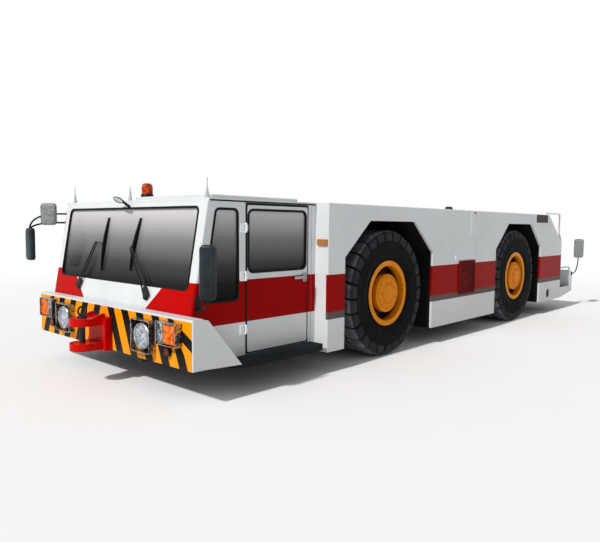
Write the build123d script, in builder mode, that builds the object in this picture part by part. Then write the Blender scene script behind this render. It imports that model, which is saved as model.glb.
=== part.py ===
from build123d import *
from math import atan2, cos, pi, sin
import os

# Low aircraft towing tractor: X forward, Y left, Z up, ground at Z = 0, all in mm.

# Stretches along the body, from the nose back
cab_length = 1718
body_lead = 277
arch_half = 910
wheelbase = 3700
body_tail = 345
slope_run = 695
platform_length = 655
jaw_front_reach = 345
jaw_rear_reach = 295

# Widths and heights of the body
body_half = 1410
cab_step = 180
cab_middle_y = -55
mirror_out_y = 1595
deck_z = 1770
skirt_z = 225
slope_low_z = 1260
plate = 30
gap = 6
seat = 0.3
edge_r = 12

# Wheels
tyre_r = 746
tyre_half = 215
wheel_y = 1145
rim_r = 385
bead_r = 345
barrel_r = 318
hub_r = 225
bead_drop = 65
flange_drop = 35
lip_drop = 15
tread_depth = 30
facets = 18
lug_w = 124

# Axles
kingpin_y = 900
kingpin_r = 26
spindle_r = 80
spindle_fit = 0.5
axle_tube_r = 90
bowl_r = 150
knuckle_half = 134
ear_t = 56

# Wheel arches
arch_top_half = 464
arch_shoulder_z = 1204
arch_top_z = 1595
liner_depth = 810
liner = 10

# Cab
foot_setback = 125
brow_setback = 305
foot_z = 735
cab_roof_drop = 30
cab_floor_z = 420
cab_skin = 30
front_skin = 40
door_setback = 742
door_post = 118
door_low_z = 335
door_skin = 36
door_glass_low_z = 1085
door_glass_drop = 84
door_stile = 22
glass_corner_r = 70
screen_low_z = 955
screen_drop = 70
screen_margin = 100
quarter_low_z = 842
seal_w = 22
glass_t = 8
hinge_z = (1510, 1066, 570)
hinge_r = 9
hinge_pin_r = 5
hinge_half = 45
hinge_barrel = 29

# Bumper, lamps and hitches
bumper_depth = 110
bumper_low_z = 322
bumper_height = 413
ledge_t = 18
wing_reach = 540
wing_low_z = 300
lamp_z = 545
lamp_r = 125
lamp_reach = 62
guard_reach = 74
guard_t = 8
turn_inset = 282
turn_z = 612
turn_w = 268
turn_h = 178
lamp_spacing = 388
hitch_base = 85
hitch_top_z = 640
jaw_half = 120
jaw_upper_z = 570
jaw_lower_z = 335
jaw_t = 70
pin_r = 25
pin_head_r = 42
pin_head_t = 24
ring_r = 48
ring_hole_r = 34

# Frame
rail_in = 400
rail_out = 480
rail_low_z = 900
rail_top_z = 1080
sub_low_z = 235
sub_top_z = 380
post_l = 170
member_reach = 750
member_w = 110

# Rear platform
platform_z = 420
tail_t = 80
tail_low_z = 300
tail_top_z = 715
rail_r = 14

# Engine cover
lid_length = 1580
lid_half = 560
lid_t = 14
lid_lap = 40

# Round socket in each rear skirt
socket_back = 90
socket_z = 356
socket_r = 87
socket_depth = 200

# Side grille and service hatch
grille_w = 464
grille_low_z = 604
grille_h = 466
grille_bar = 20
slats = 14
flap_w = 686
flap_h = 62

# Stations that follow from the sizes above
body_length = cab_length + body_lead + 2 * arch_half + wheelbase + body_tail + slope_run + platform_length
nose_x = (body_length + jaw_rear_reach - jaw_front_reach) / 2
tail_x = nose_x - body_length
cab_back_x = nose_x - cab_length
front_axle_x = cab_back_x - body_lead - arch_half
rear_axle_x = front_axle_x - wheelbase
slope_top_x = rear_axle_x - arch_half - body_tail
rear_wall_x = slope_top_x - slope_run
middle_x = (front_axle_x + rear_axle_x) / 2
arch_axles = (front_axle_x, rear_axle_x)
cab_half = body_half - cab_step - cab_middle_y
cab_left_y = cab_middle_y + cab_half
cab_right_y = cab_middle_y - cab_half
# column names: sign of Y, distance of the cab wall from the middle, width of the step beside it
walls = ((1, cab_left_y, body_half - cab_left_y), (-1, -cab_right_y, body_half + cab_right_y))
cab_place = Location((0, cab_middle_y, 0))
deck_in = body_half - plate
liner_y = body_half - liner_depth
axle_z = tyre_r

foot_x = nose_x - foot_setback
brow_x = nose_x - brow_setback
cab_roof_z = deck_z - cab_roof_drop
door_front_x = nose_x - door_setback
door_rear_x = cab_back_x + door_post
door_mid_x = (door_front_x + door_rear_x) / 2
door_w = door_front_x - door_rear_x
door_top_z = cab_roof_z - gap
door_glass_top_z = deck_z - door_glass_drop
screen_top_z = deck_z - screen_drop
screen_half = cab_half - screen_margin
bumper_top_z = bumper_low_z + bumper_height
turn_y = body_half - turn_inset
lamp_y = turn_y - lamp_spacing
hinge_x = door_front_x + gap
hinge_y = cab_half + 12
socket_x = slope_top_x - socket_back
lid_rear_x = middle_x - lid_length / 2
rail_mid = (rail_in + rail_out) / 2
rail_w = rail_out - rail_in
rail_front_x = cab_back_x - plate
rail_rear_x = rear_wall_x + plate
pin_hole_r = pin_r + gap

os.makedirs("parts", exist_ok=True)


# X of the raked cab front at a height
def cab_front_x(z):
    return foot_x - (z - foot_z) * (foot_x - brow_x) / (cab_roof_z - foot_z)


# Arch outline about an axle, pushed outwards by grow, down to a height
def arch_points(axle_x, grow, low_z):
    return [
        (axle_x - arch_half - grow, low_z),
        (axle_x - arch_half - grow, arch_shoulder_z + grow * 0.4),
        (axle_x - arch_top_half - grow * 0.4, arch_top_z + grow),
        (axle_x + arch_top_half + grow * 0.4, arch_top_z + grow),
        (axle_x + arch_half + grow, arch_shoulder_z + grow * 0.4),
        (axle_x + arch_half + grow, low_z),
    ]


# Two frame rails, each with its posts and the low beams under cab and rear platform
with BuildPart() as chassis_frame:
    with BuildSketch(Plane.XZ.offset(-rail_out)):
        Polygon(
            (nose_x - bumper_depth, sub_low_z),
            (nose_x - bumper_depth, sub_top_z),
            (rail_front_x, sub_top_z),
            (rail_front_x, rail_top_z),
            (rail_rear_x, rail_top_z),
            (rail_rear_x, sub_top_z),
            (tail_x + tail_t, sub_top_z),
            (tail_x + tail_t, sub_low_z),
            (rail_rear_x + post_l, sub_low_z),
            (rail_rear_x + post_l, rail_low_z),
            (rail_front_x - post_l, rail_low_z),
            (rail_front_x - post_l, sub_low_z),
            align=None,
        )
    extrude(amount=rail_w)
    mirror(about=Plane.XZ)
chassis_frame.part.label = "chassis_frame"

# Cross members between the rails
with BuildPart() as cross_members:
    member_xs = [axle_x + reach for axle_x in arch_axles for reach in (member_reach, -member_reach)]
    with BuildSketch(Plane.XY.offset(rail_low_z)):
        with Locations(*[(member_x, 0) for member_x in member_xs]):
            Rectangle(member_w, 2 * rail_in)
    extrude(amount=rail_top_z - rail_low_z)
    with BuildSketch(Plane.XY.offset(sub_low_z)):
        with Locations((cab_back_x + cab_length / 3, 0), (tail_x + platform_length / 2, 0)):
            Rectangle(member_w, 2 * rail_in)
    extrude(amount=sub_top_z - sub_low_z)
cross_members.part.label = "cross_members"

# Engine and gearbox as one plain block hung between the rails
engine_low_z = 560
engine_h = 900
engine_l = 1500
engine_w = 700
with BuildPart() as engine_block:
    with BuildSketch(Plane.XY.offset(engine_low_z)):
        with Locations((middle_x, 0)):
            Rectangle(engine_l, engine_w)
    extrude(amount=engine_h)
    with BuildSketch(Plane.XY.offset(rail_low_z + 60)):
        with Locations((middle_x + engine_l / 2 - 150, 0), (middle_x - engine_l / 2 + 150, 0)):
            Rectangle(120, 2 * rail_in)
    extrude(amount=60)
engine_block.part.label = "engine_block"

# Body side plates with eight-cornered wheel arches, a hatch panel and the rain ledge over the grille
flap_z = grille_low_z + grille_h + 16 + flap_h / 2
hatch_x = middle_x - 240
hatch_w = 274
hatch_h = 330
# column names: side name, sign of Y
sides = (("left", 1), ("right", -1))
for side_name, side in sides:
    with BuildPart() as body_side:
        with BuildSketch(Plane.XZ.offset(-side * body_half)):
            Polygon(
                (rear_wall_x, skirt_z),
                (rear_wall_x, slope_low_z),
                (slope_top_x, deck_z),
                (cab_back_x, deck_z),
                (cab_back_x, skirt_z),
                align=None,
            )
            for axle_x in arch_axles:
                Polygon(*arch_points(axle_x, 0, skirt_z - gap), align=None, mode=Mode.SUBTRACT)
            with Locations((socket_x, socket_z)):
                Circle(socket_r, mode=Mode.SUBTRACT)
        extrude(amount=side * plate)
        outer = -1 if side == 1 else 0
        top_edges = body_side.edges().filter_by(Axis.X).group_by(Axis.Z)[-1]
        fillet(top_edges.sort_by(Axis.Y)[outer], radius=edge_r)
        with BuildSketch(Plane.XZ.offset(-side * body_half)):
            with Locations((middle_x, flap_z)):
                RectangleRounded(flap_w, flap_h, 8)
        extrude(amount=-side * 12)
        with BuildSketch(Plane.XZ.offset(-side * body_half)):
            with Locations((hatch_x, deck_z - 20 - hatch_h / 2)):
                RectangleRounded(hatch_w, hatch_h, 20)
        extrude(amount=-side * 4)
    body_side.part.label = f"body_side_{side_name}"
    export_step(body_side.part, f"parts/body_side_{side_name}.step")

# Wheel well liners: a band round each arch and an upper inner wall
liner_wall_z = 1100
with BuildPart() as wheel_liners:
    for axle_x in arch_axles:
        with BuildSketch(Plane.XZ.offset(-deck_in)):
            Polygon(*arch_points(axle_x, liner, skirt_z), align=None)
            Polygon(*arch_points(axle_x, 0, skirt_z), align=None, mode=Mode.SUBTRACT)
        extrude(amount=deck_in - liner_y)
        with BuildSketch(Plane.XZ.offset(-liner_y)):
            Polygon(*arch_points(axle_x, liner, liner_wall_z), align=None)
        extrude(amount=liner)
    mirror(about=Plane.XZ)
wheel_liners.part.label = "wheel_liners"

# Deck plate with the engine opening
with BuildPart() as deck_plate:
    with BuildSketch(Plane.XY.offset(deck_z - plate)):
        with Locations(((slope_top_x + rail_front_x) / 2, 0)):
            Rectangle(rail_front_x - slope_top_x, 2 * deck_in)
        with Locations((middle_x, 0)):
            Rectangle(lid_length - 2 * lid_lap, 2 * (lid_half - lid_lap), mode=Mode.SUBTRACT)
    extrude(amount=plate)
deck_plate.part.label = "deck_plate"

# Lifting eyes over the frame rails and the fuel filler near the left edge
eye_t = 24
eye_r = 28
eye_hole_r = 14
eye_y = (rail_in + rail_out) / 2
filler_x = middle_x + 320
filler_r = 56
with BuildPart() as deck_fittings:
    for eye_x in (cab_back_x - 160, slope_top_x + 160):
        with BuildSketch(Plane.XZ.offset(-eye_y - eye_t / 2)):
            with Locations((eye_x, deck_z + eye_r)):
                Circle(eye_r)
            with Locations((eye_x, deck_z + eye_r / 2)):
                Rectangle(2 * eye_r, eye_r)
            with Locations((eye_x, deck_z + eye_r)):
                Circle(eye_hole_r, mode=Mode.SUBTRACT)
        extrude(amount=eye_t)
    mirror(about=Plane.XZ)
    with BuildSketch(Plane.XY.offset(deck_z)):
        with Locations((filler_x, body_half - 130)):
            Circle(filler_r)
    extrude(amount=18)
    with BuildSketch(Plane.XY.offset(deck_z + 18)):
        with Locations((filler_x, body_half - 130)):
            RegularPolygon(filler_r - 8, 8)
    extrude(amount=24)
deck_fittings.part.label = "deck_fittings"

# Engine lid over the deck opening: a dished plate with two stiffening ribs and a grab bar
with BuildPart() as engine_lid:
    with BuildSketch(Plane.XY.offset(deck_z + seat)):
        with Locations((middle_x, 0)):
            RectangleRounded(lid_length, 2 * lid_half, 40)
    extrude(amount=lid_t)
    with BuildSketch(Plane.XY.offset(deck_z + seat + lid_t)):
        with Locations((middle_x + lid_length / 4, 0), (middle_x - lid_length / 4, 0)):
            RectangleRounded(60, 2 * lid_half - 160, 25)
    extrude(amount=12)
    with BuildSketch(Plane.XY.offset(deck_z + seat + lid_t)):
        with Locations((lid_rear_x + 70, 110), (lid_rear_x + 70, -110)):
            Rectangle(24, 20)
    extrude(amount=40)
    with BuildSketch(Plane.XY.offset(deck_z + seat + lid_t + 24)):
        with Locations((lid_rear_x + 70, 0)):
            Rectangle(24, 200)
    extrude(amount=16)
engine_lid.part.label = "engine_lid"

# Forward face of the wide body, which is also the back wall of the cab
with BuildPart() as front_bulkhead:
    with BuildSketch(Plane.YZ.offset(rail_front_x)):
        with Locations((0, (skirt_z + deck_z) / 2)):
            Rectangle(2 * deck_in, deck_z - skirt_z)
        with Locations((0, (skirt_z + sub_top_z) / 2)):
            Rectangle(2 * rail_out, sub_top_z - skirt_z, mode=Mode.SUBTRACT)
    extrude(amount=plate)
front_bulkhead.part.label = "front_bulkhead"

# Sloping rear plate and the wall in front of the rear platform
with BuildPart() as rear_bulkhead:
    with BuildSketch(Plane.XZ.offset(-deck_in)):
        Polygon(
            (rear_wall_x, skirt_z),
            (rear_wall_x, slope_low_z),
            (slope_top_x, deck_z),
            (slope_top_x, deck_z - plate),
            (rail_rear_x, slope_low_z - plate / 2),
            (rail_rear_x, skirt_z),
            align=None,
        )
    extrude(amount=2 * deck_in)
    with BuildSketch(Plane.XY.offset(skirt_z)):
        with Locations((rear_wall_x + plate / 2, 0)):
            Rectangle(plate, 2 * rail_out)
    extrude(amount=sub_top_z - skirt_z, mode=Mode.SUBTRACT)
rear_bulkhead.part.label = "rear_bulkhead"

# Ballast boxes behind the cab, between the axles and behind the rear axle
box_h = 560
box_in = rail_out + 60
box_low_z = skirt_z + 15
with BuildPart() as ballast_boxes:
    # column names: front x, rear x
    for box_front, box_rear in (
        (rail_front_x, front_axle_x + arch_half + liner),
        (front_axle_x - arch_half - liner, rear_axle_x + arch_half + liner),
        (rear_axle_x - arch_half - liner, rail_rear_x),
    ):
        with BuildSketch(Plane.XY.offset(box_low_z)):
            with Locations(((box_front + box_rear) / 2, (box_in + deck_in) / 2)):
                Rectangle(box_front - box_rear, deck_in - box_in)
        extrude(amount=box_h)
    mirror(about=Plane.XZ)
    for side in (1, -1):
        with BuildSketch(Plane.XZ.offset(-side * deck_in)):
            with Locations((socket_x, socket_z)):
                Circle(socket_r)
        extrude(amount=side * socket_depth, mode=Mode.SUBTRACT)
ballast_boxes.part.label = "ballast_boxes"

# Front bumper: box with a ledge, side wings under the cab corners and guard frames for the lamps
guard_w = 2 * lamp_r + 44
with BuildPart() as front_bumper:
    with BuildSketch(Plane.YZ.offset(nose_x - bumper_depth)):
        with Locations((0, (bumper_low_z + bumper_top_z) / 2)):
            Rectangle(2 * body_half, bumper_height)
    extrude(amount=bumper_depth)
    for side, wall_y, step_w in walls:
        with BuildSketch(Plane.XZ.offset(-side * body_half)):
            Polygon(
                (nose_x - bumper_depth, bumper_low_z),
                (nose_x - bumper_depth, bumper_top_z),
                (nose_x - bumper_depth - 55, bumper_top_z),
                (nose_x - wing_reach, wing_low_z),
                align=None,
            )
        extrude(amount=side * step_w)
    fillet(front_bumper.edges().filter_by(Axis.Z).group_by(Axis.X)[-1], radius=edge_r)
    with BuildSketch(Plane.XY.offset(bumper_top_z)):
        with Locations((nose_x - bumper_depth / 2, 0)):
            RectangleRounded(bumper_depth, 2 * body_half, edge_r)
    extrude(amount=ledge_t)
    with BuildSketch(Plane.YZ.offset(nose_x)):
        with Locations((lamp_y, lamp_z), (-lamp_y, lamp_z)):
            RectangleRounded(guard_w, guard_w, 20)
            RectangleRounded(guard_w - 2 * guard_t, guard_w - 2 * guard_t, 20 - guard_t, mode=Mode.SUBTRACT)
        with Locations((turn_y, turn_z), (-turn_y, turn_z)):
            Rectangle(turn_w + 2 * guard_t + 6, turn_h + 2 * guard_t + 6)
            Rectangle(turn_w + 6, turn_h + 6, mode=Mode.SUBTRACT)
    extrude(amount=guard_reach)
front_bumper.part.label = "front_bumper"

# Towing jaws at nose and tail: base block, two rounded plates with the pin bore, ribs and corner webs
rib_t = 24
rib_y = jaw_half - rib_t / 2
# column names: place, X of the face that carries the jaw, sign of X, reach
jaws = (("front", nose_x, 1, jaw_front_reach), ("rear", tail_x, -1, jaw_rear_reach))
for place, face_x, way, reach in jaws:
    jaw_root_x = face_x + way * hitch_base
    jaw_pin_x = face_x + way * (reach - jaw_half)
    with BuildPart() as hitch:
        with BuildSketch(Plane.YZ.offset(face_x)):
            with Locations((0, (bumper_low_z + hitch_top_z) / 2)):
                Rectangle(2.6 * jaw_half, hitch_top_z - bumper_low_z)
        extrude(amount=way * hitch_base)
        fillet(hitch.edges().filter_by(Axis.Z), radius=edge_r)
        for jaw_z in (jaw_upper_z, jaw_lower_z):
            with BuildSketch(Plane.XY.offset(jaw_z)):
                with Locations(((jaw_root_x + jaw_pin_x) / 2, 0)):
                    Rectangle(abs(jaw_pin_x - jaw_root_x), 2 * jaw_half)
                with Locations((jaw_pin_x, 0)):
                    Circle(jaw_half)
                    Circle(pin_hole_r, mode=Mode.SUBTRACT)
            extrude(amount=jaw_t)
        for side in (1, -1):
            with BuildSketch(Plane.XZ.offset(-side * rib_y - rib_t / 2)):
                Polygon(
                    (jaw_root_x - way * 30, jaw_upper_z + jaw_t),
                    (jaw_root_x - way * 30, jaw_upper_z + jaw_t + 38),
                    (jaw_root_x, jaw_upper_z + jaw_t + 38),
                    (jaw_pin_x - way * pin_head_r, jaw_upper_z + jaw_t),
                    align=None,
                )
            extrude(amount=rib_t)
    hitch.part.label = f"{place}_hitch"
    export_step(hitch.part, f"parts/{place}_hitch.step")

    pin_top_z = jaw_upper_z + jaw_t + seat
    ring_z = pin_top_z + pin_head_t + ring_r - 4
    with BuildPart() as pin:
        with BuildSketch(Plane.XY.offset(jaw_lower_z + 5)):
            with Locations((jaw_pin_x, 0)):
                Circle(pin_r)
        extrude(amount=pin_top_z - jaw_lower_z - 5)
        with BuildSketch(Plane.XY.offset(pin_top_z)):
            with Locations((jaw_pin_x, 0)):
                Circle(pin_head_r)
        extrude(amount=pin_head_t)
        with BuildSketch(Plane.XZ.offset(-8)):
            with Locations((jaw_pin_x, ring_z)):
                Circle(ring_r)
                Circle(ring_hole_r, mode=Mode.SUBTRACT)
        extrude(amount=16)
    pin.part.label = f"{place}_pin"
    export_step(pin.part, f"parts/{place}_pin.step")

# Rear platform floor with its side skirts
with BuildPart() as rear_platform:
    with BuildSketch(Plane.XY.offset(sub_top_z)):
        with Locations(((rear_wall_x + tail_x + tail_t) / 2, 0)):
            Rectangle(rear_wall_x - tail_x - tail_t, 2 * body_half)
    extrude(amount=platform_z - sub_top_z)
    for side in (1, -1):
        with BuildSketch(Plane.XZ.offset(-side * body_half)):
            Polygon(
                (rear_wall_x, skirt_z),
                (rear_wall_x, sub_top_z),
                (tail_x + tail_t, sub_top_z),
                (tail_x + tail_t, tail_low_z),
                align=None,
            )
        extrude(amount=side * plate)
rear_platform.part.label = "rear_platform"

# Low wall across the tail
with BuildPart() as rear_bumper:
    with BuildSketch(Plane.YZ.offset(tail_x)):
        with Locations((0, (tail_low_z + tail_top_z) / 2)):
            RectangleRounded(2 * body_half, tail_top_z - tail_low_z, 30)
    extrude(amount=tail_t)
rear_bumper.part.label = "rear_bumper"

# Hand rails beside the rear platform, from the deck edge round and down to the tail wall
rail_y = body_half - 45
hoop_x = rear_wall_x + 30
post_x = rear_wall_x - 75
rail_foot_x = slope_top_x + 20
hoop_z = deck_z + 26
with BuildPart() as rear_rails:
    with BuildLine() as rail_path:
        FilletPolyline(
            (rail_foot_x, rail_y, deck_z),
            (rail_foot_x, rail_y, hoop_z),
            (hoop_x, rail_y, hoop_z),
            (hoop_x, rail_y, slope_low_z + 170),
            (post_x, rail_y, slope_low_z + 60),
            (post_x, rail_y, tail_top_z + 65),
            (tail_x + tail_t / 2, rail_y, tail_top_z + 65),
            (tail_x + tail_t / 2, rail_y, tail_top_z),
            radius=(12, 60, 60, 60, 60, 30),
        )
    with BuildSketch(Plane.XY.offset(deck_z)):
        with Locations((rail_foot_x, rail_y)):
            Circle(rail_r)
    sweep()
    mirror(about=Plane.XZ)
rear_rails.part.label = "rear_rails"

# Cab floor
with BuildPart() as cab_floor:
    with BuildSketch(Plane.XY.offset(sub_top_z)):
        with Locations(((cab_back_x + nose_x - bumper_depth) / 2, 0)):
            Rectangle(nose_x - bumper_depth - cab_back_x, 2 * (cab_half - cab_skin))
        for side in (1, -1):
            with Locations((door_mid_x, side * (cab_half - cab_skin))):
                Rectangle(door_w + 2 * gap, 2 * (door_skin - cab_skin + gap), mode=Mode.SUBTRACT)
    extrude(amount=cab_floor_z - sub_top_z)
cab_floor.part.label = "cab_floor"

# Raked cab front with the windscreen opening
screen_h = screen_top_z - screen_low_z
screen_mid_z = (screen_low_z + screen_top_z) / 2
screen_r = 60
with BuildPart() as cab_front:
    with BuildSketch(Plane.XZ.offset(-(cab_half - cab_skin))):
        Polygon(
            (foot_x - front_skin, cab_floor_z),
            (foot_x, cab_floor_z),
            (foot_x, foot_z),
            (cab_front_x(cab_roof_z), cab_roof_z),
            (cab_front_x(cab_roof_z) - front_skin, cab_roof_z),
            (foot_x - front_skin, foot_z),
            align=None,
        )
    extrude(amount=2 * (cab_half - cab_skin))
    with BuildSketch(Plane.YZ.offset(foot_x)):
        with Locations((0, screen_mid_z)):
            RectangleRounded(2 * screen_half, screen_h, screen_r)
    extrude(amount=-2 * (foot_x - brow_x), mode=Mode.SUBTRACT)
cab_front.part.label = "cab_front"

# Cab side plates with door and quarter window openings and the pillar halves of the door hinges
quarter = (
    (cab_front_x(door_glass_top_z) - 88, door_glass_top_z),
    (door_front_x + 87, door_glass_top_z),
    (door_front_x + 77, quarter_low_z),
    (cab_front_x(quarter_low_z) - 88, quarter_low_z),
)
quarter_r = 55
cab_low_z = 290
with BuildPart() as cab_sides:
    with BuildSketch(Plane.XZ.offset(-cab_half)):
        Polygon(
            (cab_back_x, cab_low_z),
            (cab_back_x, cab_roof_z),
            (cab_front_x(cab_roof_z), cab_roof_z),
            (foot_x, foot_z),
            (foot_x, cab_low_z + 40),
            (nose_x - wing_reach, cab_low_z),
            align=None,
        )
        with Locations((door_mid_x, (door_low_z - gap + cab_roof_z + 20) / 2)):
            Rectangle(door_w + 2 * gap, cab_roof_z + 20 - door_low_z + gap, mode=Mode.SUBTRACT)
        with BuildSketch(mode=Mode.SUBTRACT) as quarter_hole:
            Polygon(*quarter, align=None)
            fillet(quarter_hole.vertices(), radius=quarter_r)
    extrude(amount=cab_skin)
    corner_edges = cab_sides.faces().sort_by(Axis.Y)[-1].outer_wire().edges().filter_by(
        lambda edge: edge.center().X > door_front_x + door_w / 2 and edge.length > cab_roof_z - foot_z
    )
    fillet(corner_edges, radius=edge_r)
    for z in hinge_z:
        with BuildSketch(Plane.XY.offset(z - hinge_half)):
            with Locations((hinge_x + 42, cab_half + 5)):
                Rectangle(48, 10)
        extrude(amount=2 * hinge_half)
        for low, high in ((-hinge_half, -hinge_barrel - seat), (hinge_barrel + seat, hinge_half)):
            with BuildSketch(Plane.XY.offset(z + low)):
                with Locations((hinge_x, hinge_y)):
                    Circle(hinge_r)
                with Locations((hinge_x + 11, cab_half + 5)):
                    Rectangle(22, 10)
            extrude(amount=high - low)
        with BuildSketch(Plane.XY.offset(z - hinge_half)):
            with Locations((hinge_x, hinge_y)):
                Circle(hinge_pin_r)
        extrude(amount=2 * hinge_half)
    mirror(about=Plane.XZ)
cab_sides.part.label = "cab_sides"

# Cab roof with rain gutters and its raised half
gutter_w = 12
hump_front_x = brow_x - 90
hump_back_x = cab_back_x + 140
hump_right_y = -35
hump_left_y = cab_half - 100
hump_h = 36
with BuildPart() as cab_roof:
    with BuildSketch(Plane.XY.offset(cab_roof_z)):
        with Locations(((cab_back_x + brow_x) / 2, 0)):
            Rectangle(brow_x - cab_back_x, 2 * (cab_half + gutter_w))
    extrude(amount=deck_z - cab_roof_z)
    fillet(cab_roof.edges().filter_by(Axis.Y).group_by(Axis.Z)[-1].sort_by(Axis.X)[-1], radius=edge_r)
    with BuildSketch(Plane.XY.offset(deck_z)):
        with Locations(((hump_back_x + hump_front_x) / 2, (hump_right_y + hump_left_y) / 2)):
            RectangleRounded(hump_front_x - hump_back_x, hump_left_y - hump_right_y, 60)
    extrude(amount=hump_h)
    fillet(cab_roof.edges().group_by(Axis.Z)[-1], radius=edge_r)
cab_roof.part.label = "cab_roof"

# Windscreen and quarter panes
pane_set = 16
with BuildPart() as cab_glass:
    with BuildSketch(Plane.XZ.offset(-(screen_half - seal_w))):
        low = screen_low_z + seal_w
        top = screen_top_z - seal_w
        Polygon(
            (cab_front_x(low) - pane_set, low),
            (cab_front_x(top) - pane_set, top),
            (cab_front_x(top) - pane_set - glass_t, top),
            (cab_front_x(low) - pane_set - glass_t, low),
            align=None,
        )
    extrude(amount=2 * (screen_half - seal_w))
    with BuildSketch(Plane.YZ.offset(foot_x)):
        with Locations((0, screen_mid_z)):
            RectangleRounded(2 * (screen_half - seal_w), screen_h - 2 * seal_w, screen_r - seal_w)
    extrude(amount=-2 * (foot_x - brow_x), mode=Mode.INTERSECT)
    for pane_y in (-(cab_half - 10), cab_half - 10 - glass_t):
        with BuildSketch(Plane.XZ.offset(pane_y)) as pane:
            Polygon(*quarter, align=None)
            fillet(pane.vertices(), radius=quarter_r)
            offset(amount=-seal_w, mode=Mode.REPLACE)
        extrude(amount=glass_t)
cab_glass.part.label = "cab_glass"

# Rubber seals round the fixed panes
seal_proud = 3
seal_depth = 32
with BuildPart() as cab_seals:
    with BuildSketch(Plane.XZ.offset(-screen_half)):
        Polygon(
            (cab_front_x(screen_low_z) + seal_proud, screen_low_z),
            (cab_front_x(screen_top_z) + seal_proud, screen_top_z),
            (cab_front_x(screen_top_z) + seal_proud - seal_depth, screen_top_z),
            (cab_front_x(screen_low_z) + seal_proud - seal_depth, screen_low_z),
            align=None,
        )
    extrude(amount=2 * screen_half)
    with BuildSketch(Plane.YZ.offset(foot_x)):
        with Locations((0, screen_mid_z)):
            RectangleRounded(2 * screen_half, screen_h, screen_r)
            RectangleRounded(
                2 * (screen_half - seal_w), screen_h - 2 * seal_w, screen_r - seal_w, mode=Mode.SUBTRACT
            )
    extrude(amount=-2 * (foot_x - brow_x), mode=Mode.INTERSECT)
    for pane_y in (-(cab_half + seal_proud), cab_half + seal_proud - cab_skin):
        with BuildSketch(Plane.XZ.offset(pane_y)) as frame:
            Polygon(*quarter, align=None)
            fillet(frame.vertices(), radius=quarter_r)
            offset(amount=-seal_w, mode=Mode.SUBTRACT)
        extrude(amount=cab_skin)
cab_seals.part.label = "cab_seals"

# Wipers on the raked front: pivot boss, two parallel arms, elbow link and blade
rake = atan2(foot_x - brow_x, cab_roof_z - foot_z)
screen_plane = Plane(
    (cab_front_x(screen_low_z), 0, screen_low_z), x_dir=(0, 1, 0), z_dir=(cos(rake), 0, sin(rake))
)
# column names: pivot y, pivot height, elbow y, elbow height, then y and height of the blade's top and foot
wiper_sets = (
    (-740, 877, -472, 1347, -318, 1599, -324, 1049),
    (578, 852, 207, 1290, 283, 1594, 221, 1077),
)
arm_w = 20
arm_pitch = 44
blade_w = 16
with BuildPart() as wipers:
    for row in wiper_sets:
        slant = [(row[k], (row[k + 1] - screen_low_z) / cos(rake)) for k in (0, 2, 4, 6)]
        pivot, elbow, blade_top, blade_foot = slant
        with BuildSketch(screen_plane.offset(seat)):
            with Locations(pivot):
                Circle(26)
        extrude(amount=34)
        with BuildSketch(screen_plane.offset(22)):
            SlotCenterPoint(
                ((pivot[0] + elbow[0]) / 2, (pivot[1] + elbow[1]) / 2), elbow, arm_w
            )
            SlotCenterPoint(
                ((pivot[0] + elbow[0]) / 2 + arm_pitch, (pivot[1] + elbow[1]) / 2 - arm_pitch / 3),
                (elbow[0] + arm_pitch, elbow[1] - arm_pitch / 3),
                arm_w / 2,
            )
            SlotCenterPoint(pivot, (pivot[0] + arm_pitch, pivot[1] - arm_pitch / 3), arm_w * 1.4)
            SlotCenterPoint(elbow, (elbow[0] + arm_pitch, elbow[1] - arm_pitch / 3), arm_w * 1.4)
        extrude(amount=10)
        blade_mid = ((blade_top[0] + blade_foot[0]) / 2, (blade_top[1] + blade_foot[1]) / 2)
        with BuildSketch(screen_plane.offset(12)):
            SlotCenterPoint(elbow, blade_mid, arm_w)
        extrude(amount=12)
        with BuildSketch(screen_plane.offset(-12)):
            SlotCenterPoint(blade_mid, blade_top, blade_w)
        extrude(amount=26)
wipers.part.label = "wipers"

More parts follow.
